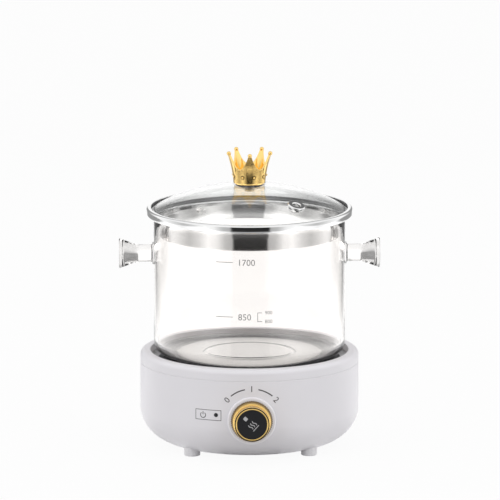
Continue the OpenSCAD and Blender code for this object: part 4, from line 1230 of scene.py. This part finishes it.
class GLASSPOT_OT_housing(PieceOperator, bpy.types.Operator):
    """Makes the white housing of the base and the collar on top of it"""

    bl_idname = "glasspot.housing"
    bl_label = "Housing and collar"

    def execute(self, context):
        s = settings().base
        r, ir = s.radius, s.radius - s.wall
        flat, corner_z = r - s.corner_w, s.foot + s.corner_h
        chamfer = 0.4 * MM
        rebate, ledge, cover = 53.85 * MM, 46.75 * MM, 2.5 * MM
        outline = (
            [(rebate, s.foot)]
            + arc(flat, corner_z, s.corner_w, s.corner_h, -90, 0, 44)
            + rows((r, corner_z), (r, s.seam - chamfer), 8)
            + [(r - chamfer, s.seam), (ir, s.seam), (ir, corner_z)]
            + arc(flat, corner_z, s.corner_w - s.wall, s.corner_h - s.wall, 0, -84, 24)
            + [(ledge, s.foot + 2 * cover), (ledge, s.foot + cover), (rebate, s.foot + cover)]
        )
        shell = lathe("base_housing", outline)
        tools = [copies(drum("seat", 6.8 * MM, -1 * MM, foot_seat(s)), 4, s.feet_at, 45)]
        tools.append(place(drum("knob_hole", 11 * MM, 80 * MM, 99 * MM), (90, 0, 0), (0, 0, s.knob_z)))
        tools.append(place(drum("gland_hole", 8.7 * MM, 84 * MM, 99 * MM), (-90, 0, 0), (0, 0, s.gland_z)))
        lamp = place(drum("lamp_hole", 1.8 * MM, 80 * MM, 99 * MM), (90, 0, 0), (0, 0, s.lamp_z))
        tools.append(place(lamp, (0, 0, -LAMP_TURN)))
        combine(shell, join(*tools), "DIFFERENCE")
        done(shell, "base", "white_plastic", white(), "housing")
        self.collar(s, chamfer)
        return {"FINISHED"}

    def collar(self, s, chamfer):
        r = s.radius
        rounding, lip_round = 4.2 * MM, 0.6 * MM
        spigot = r - s.wall - 0.1 * MM
        inside = spigot - 2.4 * MM
        wall = 2 * MM
        under = s.top - wall
        foot = s.seam - 3 * MM
        wall_foot = s.tray_edge - 0.8 * MM
        outline = (
            [(r - chamfer, s.seam), (r, s.seam + chamfer)]
            + rows((r, s.seam + chamfer), (r, s.top - rounding), 4)
            + bow(r - rounding, s.top - rounding, rounding, 0, 90, 16)[1:]
            + bow(s.lip + lip_round, s.top - lip_round, lip_round, 90, 180, 6)
            + rows((s.lip, s.top - lip_round), (s.lip, wall_foot), 3)
            + [(s.lip + wall, wall_foot), (s.lip + wall, under), (inside, under)]
            + [(inside, foot), (spigot, foot), (spigot, s.seam)]
        )
        done(lathe("base_collar", outline), "base", "white_plastic", white(), "top_collar")


class GLASSPOT_OT_well(PieceOperator, bpy.types.Operator):
    """Makes the heating plate and the dish round it"""

    bl_idname = "glasspot.well"
    bl_label = "Heating plate and tray"

    def execute(self, context):
        s = settings().base
        colours = settings().colours
        sheet = 0.8 * MM
        hole = s.plate + 0.5 * MM
        lip = s.lip - 0.2 * MM
        top = s.tray_edge
        run, rise = lip - sheet - s.tray_floor, top - s.tray_z
        outline = (
            [(hole, s.tray_z - sheet)]
            + rows((hole, s.tray_z - sheet), (s.tray_floor, s.tray_z - sheet), 3)[:-1]
            + arc(s.tray_floor, top, run + sheet, rise + sheet, -90, 0, 20)
            + arc(s.tray_floor, top, run, rise, 0, -90, 20)
            + [(hole, s.tray_z)]
        )
        tray = lathe("tray_dish", outline)
        dish = finish("enamelled_dish", tray_finish, colours.enamel, (0.42, 0.42, 0.43), s.tray_floor)
        done(tray, "base", "dark_enamel", dish, "drip_tray")
        under, flange = s.plate_top - 8 * MM, s.plate + 3.5 * MM
        seat = under + 3.6 * MM
        rounding = 2 * MM
        outline = (
            [(0, under), (flange, under), (flange, seat), (s.plate, seat)]
            + bow(s.plate - rounding, s.plate_top - rounding, rounding, 0, 90, 12)
            + rows((s.plate - rounding, s.plate_top), (0, s.plate_top), 6)
        )
        plate = lathe("hot_plate", outline, ring=False)
        face = finish("turned_aluminium", turned_finish, colours.aluminium, 0.34)
        done(plate, "base", "plate_aluminium", face, "heating_plate")
        return {"FINISHED"}


class GLASSPOT_OT_knob(PieceOperator, bpy.types.Operator):
    """Makes the control knob, its white ring and its black face"""

    bl_idname = "glasspot.knob"
    bl_label = "Control knob"

    def execute(self, context):
        s = settings().base
        self.bezel(s)
        self.shell(s)
        self.face(s)
        return {"FINISHED"}

    def to_front(self, piece, s):
        """Turns a piece made along +Z so that it points out of the front, on the knob's axis."""
        return place(piece, (90, 0, 0), (0, 0, s.knob_z))

    def bezel(self, s):
        out, bore, rounding = 20 * MM, 9 * MM, 1.1 * MM
        front = s.knob_back - 0.4 * MM
        deep = 78 * MM
        outline = (
            [(bore, deep), (out, deep)]
            + bow(out - rounding, front - rounding, rounding, 0, 90, 10)
            + [(bore + 0.4 * MM, front), (bore, front - 0.4 * MM)]
        )
        ring = self.to_front(lathe("knob_ring", outline, 128), s)
        flat, corner_z = s.radius - s.corner_w, s.foot + s.corner_h
        side = arc(flat, corner_z, s.corner_w, s.corner_h, -90, 0, 24)
        body = lathe("body", [(0, s.foot)] + side + [(s.radius, s.seam), (0, s.seam)], 256, ring=False)
        combine(ring, body, "DIFFERENCE")
        # The ring is painted paler than the housing: a painted glow round the knob.
        pale = finish("pale_ring_plastic", plastic_finish, shade(settings().colours.white, 1.1), 0.3)
        done(ring, "base", "white_plastic", pale, "knob_bezel")

    def shell(self, s):
        """A knurled, slightly conical flange, a round shoulder, a drum, and a thin rim on its front."""
        back, front = s.knob_back, s.knob_back + s.knob_len
        flange, flange_front, drum_r, rim, face = 17.5 * MM, 15.8 * MM, 14.7 * MM, 13.5 * MM, 12.4 * MM
        knurl_len, depth, bore = 5 * MM, 0.6 * MM, 11.05 * MM
        lip, edge, bulge = rim - face, 0.3 * MM, 1.1 * MM
        ledge, seat = front - 0.9 * MM, front - 2 * MM
        shoulder = flange_front - depth
        outline = (
            [(bore, back), (flange - 0.7 * MM, back), (flange, back + 0.5 * MM)]
            + rows((flange, back + 0.5 * MM), (flange_front + 0.15 * MM, back + knurl_len - 0.3 * MM), 6)
            + [(shoulder, back + knurl_len)]
            + arc(drum_r, back + knurl_len, shoulder - drum_r, bulge, 0, 90, 10)[1:]
            + rows((drum_r, back + knurl_len + bulge), (drum_r, ledge - edge), 4)
            + bow(drum_r - edge, ledge - edge, edge, 0, 90, 6)[1:]
            + [(rim, ledge)]
            + bow(rim - lip / 2, front - lip / 2, lip / 2, 0, 180, 12)
            + [(face, seat), (bore, seat)]
        )
        shell = lathe("knob_shell_gold", outline, s.knurls * 6)

        def knurl(x, y, z):
            r = math.hypot(x, y)
            if not back + 0.4 * MM < z < back + knurl_len - 0.2 * MM or r < shoulder + 0.1 * MM:
                return x, y, z
            wave = abs((math.atan2(y, x) * s.knurls / TURN) % 1 - 0.5) * 2
            k = 1 - depth * (1 - wave) / r
            return x * k, y * k, z

        shape(shell, knurl)
        gold = settings().colours.gold
        plate = finish("knob_gold_plate", knob_gold_finish, gold, s.knob_z, rim, drum_r, flange)
        done(self.to_front(shell, s), "knob", "gold_plate", plate, "knob_shell", angle=math.radians(28))

    def face(self, s):
        front = s.knob_back + s.knob_len - 0.5 * MM
        back = front - 1.5 * MM
        r, edge = 12.35 * MM, 0.4 * MM
        outline = (
            [(0, back), (r, back)]
            + bow(r - edge, front - edge, edge, 0, 90, 8)
            + rows((r - edge, front), (0, front), 6)
        )
        disc = self.to_front(lathe("knob_face_disc", outline, 128, ring=False), s)
        black = finish("black_face_plastic", plastic_finish, settings().colours.black, 0.3, 0.006 * MM)
        done(disc, "knob", "black_plastic", black, "knob_face")
        parts = [slide(frame_dot("pointer", 3.0 * MM, 3.4 * MM), 0, 7.3 * MM)]
        line, pitch, sway, tall, drop = 0.62 * MM, 2.3 * MM, 0.55 * MM, 5.0 * MM, 0.62
        for column in (-1, 0, 1):
            wave = [(column * pitch + sway * math.sin(TURN * t), (t - drop) * tall) for t in shares(20)]
            parts.append(strip("heat_wave", wave, line))
        half, level = 3.4 * MM, -4.4 * MM
        parts.append(strip("heat_bar", [(-half, level), (0, level), (half, level)], line))
        sign = called(slide(join(*parts), 0, 0, -POINTER_REST), "knob_sign")
        shape(sign, lambda x, y, z: (x, -front - z, y + s.knob_z))
        pale = finish("pale_print", ink_finish, (0.42, 0.42, 0.43))
        done(sign, "knob", "black_plastic", pale)


class GLASSPOT_OT_front_marks(PieceOperator, bpy.types.Operator):
    """Prints the dial and the power label, and makes the lamp"""

    bl_idname = "glasspot.front_marks"
    bl_label = "Dial, label and lamp"

    def execute(self, context):
        s = settings().base
        dial, line = 26.9 * MM, 0.95 * MM
        middle = (0, s.knob_z)
        parts = []
        for text, a in (("0", -50.0), ("1", 0.0), ("2", 50.0)):
            u, v = circle_path(dial, a, a, 1, middle)[0]
            parts.append(slide(figures("figures", text, 5.0 * MM), u, v, a))
        for a0, a1 in ((-40.0, -12.0), (12.0, 40.0)):
            parts.append(strip("dial_arc", circle_path(dial, a0, a1, 24, middle), line))
        width, height, box_line, thin = 23.0 * MM, 8.9 * MM, 0.45 * MM, 0.62 * MM
        box_u, u, v = -37.0 * MM, -41.6 * MM, s.lamp_z - 0.3 * MM
        parts.append(slide(frame_box("label_box", width, height, box_line), box_u, v))
        ring = circle_path(2.3 * MM, 38, 322, 32, (u, v - 0.3 * MM))
        parts.append(strip("power_ring", ring, thin))
        parts.append(strip("power_bar", [(u, v + 0.2 * MM), (u, v + 1.4 * MM), (u, v + 2.7 * MM)], thin))
        marks = called(wrap(join(*parts), s.radius), "front_marks")
        ink = finish("dark_print", ink_finish, settings().colours.ink)
        done(marks, "base", "black_plastic", ink)
        self.lamp(s)
        return {"FINISHED"}

    def lamp(self, s):
        r, seat = 1.7 * MM, 1.2 * MM
        y = s.radius - s.wall - 2 * MM
        out = s.radius + 0.35 * MM
        flange = 3.8 * MM
        outline = (
            [(0, y - seat), (flange, y - seat), (flange, y), (r, y)]
            + rows((r, y), (r, s.radius), 2)
            + arc(0, s.radius, r, out - s.radius, 0, 90, 10)[1:]
        )
        lens = place(lathe("power_lamp", outline, 48, ring=False), (90, 0, 0), (0, 0, s.lamp_z))
        place(lens, (0, 0, -LAMP_TURN))
        dark = finish("dark_lens", plastic_finish, (0.012, 0.012, 0.014), 0.12, 0.002 * MM)
        done(lens, "base", "lamp_tint", dark, "lamp_lens")


class GLASSPOT_OT_feet(PieceOperator, bpy.types.Operator):
    """Makes the feet and the cord's gland"""

    bl_idname = "glasspot.feet"
    bl_label = "Feet and gland"

    def execute(self, context):
        s = settings().base
        edge, seat = 0.9 * MM, foot_seat(s)
        stem, dimple = 2.2 * MM, 0.3 * MM
        barb, tip = seat + 2.4 * MM, seat + 4.4 * MM
        outline = (
            [(0, dimple), (2.4 * MM, dimple), (3.0 * MM, 0)]
            + bow(FOOT_R - edge, edge, edge, -90, 0, 8)
            + [(FOOT_R, seat), (stem, seat), (stem, barb)]
            + [(stem + 1 * MM, barb), (stem - 0.5 * MM, tip), (0, tip)]
        )
        feet = copies(lathe("rubber_feet", outline, 64, ring=False), 4, s.feet_at, 45)
        done(feet, "base", "foot_rubber", inner("foot_rubber"), "feet")
        self.gland(s)
        return {"FINISHED"}

    def gland(self, s):
        """A flange against the housing, and a ribbed boot that thins towards its end."""
        low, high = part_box("cord_gland")
        bore, neck, end, flange, flange_t = 3.5 * MM, 6.0 * MM, 4.9 * MM, 8.5 * MM, 2.6 * MM
        seat = math.sqrt(s.radius**2 - flange**2)
        tip = high.y
        run = tip - seat - flange_t
        grooves = 4
        pitch = run / (grooves + 1)
        depth, rounding = 0.6 * MM, 1.3 * MM

        def boot(y):
            return neck + (end - neck) * (y - seat - flange_t) / run

        ribs = []
        for i in range(1, grooves + 1):
            y = seat + flange_t + i * pitch
            start = y - pitch / 4
            for t in shares(8):
                dip = depth * (1 - math.cos(TURN * t)) / 2
                ribs.append((boot(start) - dip, start + pitch / 2 * t))
        tip_r = (end - bore) / 2
        outline = (
            [(bore, low.y), (neck, low.y), (neck, seat), (flange, seat)]
            + bow(flange - rounding, seat + flange_t - rounding, rounding, 0, 90, 8)
            + [(neck + 0.4 * MM, seat + flange_t), (neck, seat + flange_t + 0.3 * MM)]
            + ribs
            + bow(end - tip_r, tip - tip_r, tip_r, 0, 90, 6)
            + [(bore, tip)]
        )
        gland = place(lathe("cord_boot", outline, 96), (-90, 0, 0), (0, 0, s.gland_z))
        done(gland, "base", "white_plastic", white(), "cord_gland")


class GLASSPOT_OT_inner(PieceOperator, bpy.types.Operator):
    """Gives the solids that are shown as they are their finishes"""

    bl_idname = "glasspot.inner"
    bl_label = "Inner pieces"

    def execute(self, context):
        slots = {part["node"]: part["material_slot"] for part in frame["record"]["subparts"]}
        for name, node in frame["nodes"].items():
            if node.hide_render:
                continue
            slot = slots[name]
            material = white() if slot == "white_plastic" else inner(slot)
            node.data.materials.clear()
            node.data.materials.append(material)
        return {"FINISHED"}


OPERATORS = (
    GLASSPOT_OT_stage,
    GLASSPOT_OT_lid_glass,
    GLASSPOT_OT_lid_band,
    GLASSPOT_OT_crown,
    GLASSPOT_OT_pot,
    GLASSPOT_OT_pot_marks,
    GLASSPOT_OT_housing,
    GLASSPOT_OT_well,
    GLASSPOT_OT_knob,
    GLASSPOT_OT_front_marks,
    GLASSPOT_OT_feet,
    GLASSPOT_OT_inner,
)


class GLASSPOT_PT_panel(bpy.types.Panel):
    """Lists the pieces and their settings"""

    bl_idname = "GLASSPOT_PT_panel"
    bl_label = "Glass Pot"
    bl_space_type = "VIEW_3D"
    bl_region_type = "UI"
    bl_category = "Glass Pot"

    def draw(self, context):
        for operator in OPERATORS:
            self.layout.operator(operator.bl_idname)
        for group in ("pot", "lid", "base", "colours", "studio"):
            sizes = getattr(settings(), group)
            column = self.layout.column(heading=group.capitalize())
            for name in sizes.bl_rna.properties.keys():
                if name not in ("name", "rna_type"):
                    column.prop(sizes, name)


CLASSES = (PotSizes, LidSizes, BaseSizes, Colours, Studio, PotSettings, *OPERATORS, GLASSPOT_PT_panel)


def register():
    for cls in CLASSES:
        bpy.utils.register_class(cls)
    bpy.types.Scene.glass_pot = PointerProperty(type=PotSettings)


def unregister():
    del bpy.types.Scene.glass_pot
    for cls in reversed(CLASSES):
        bpy.utils.unregister_class(cls)


def main():
    register()
    scene = bpy.context.scene
    scene.view_settings.view_transform = "Standard"
    for operator in OPERATORS:
        group, name = operator.bl_idname.split(".")
        getattr(getattr(bpy.ops, group), name)()


if __name__ == "__main__":
    main()
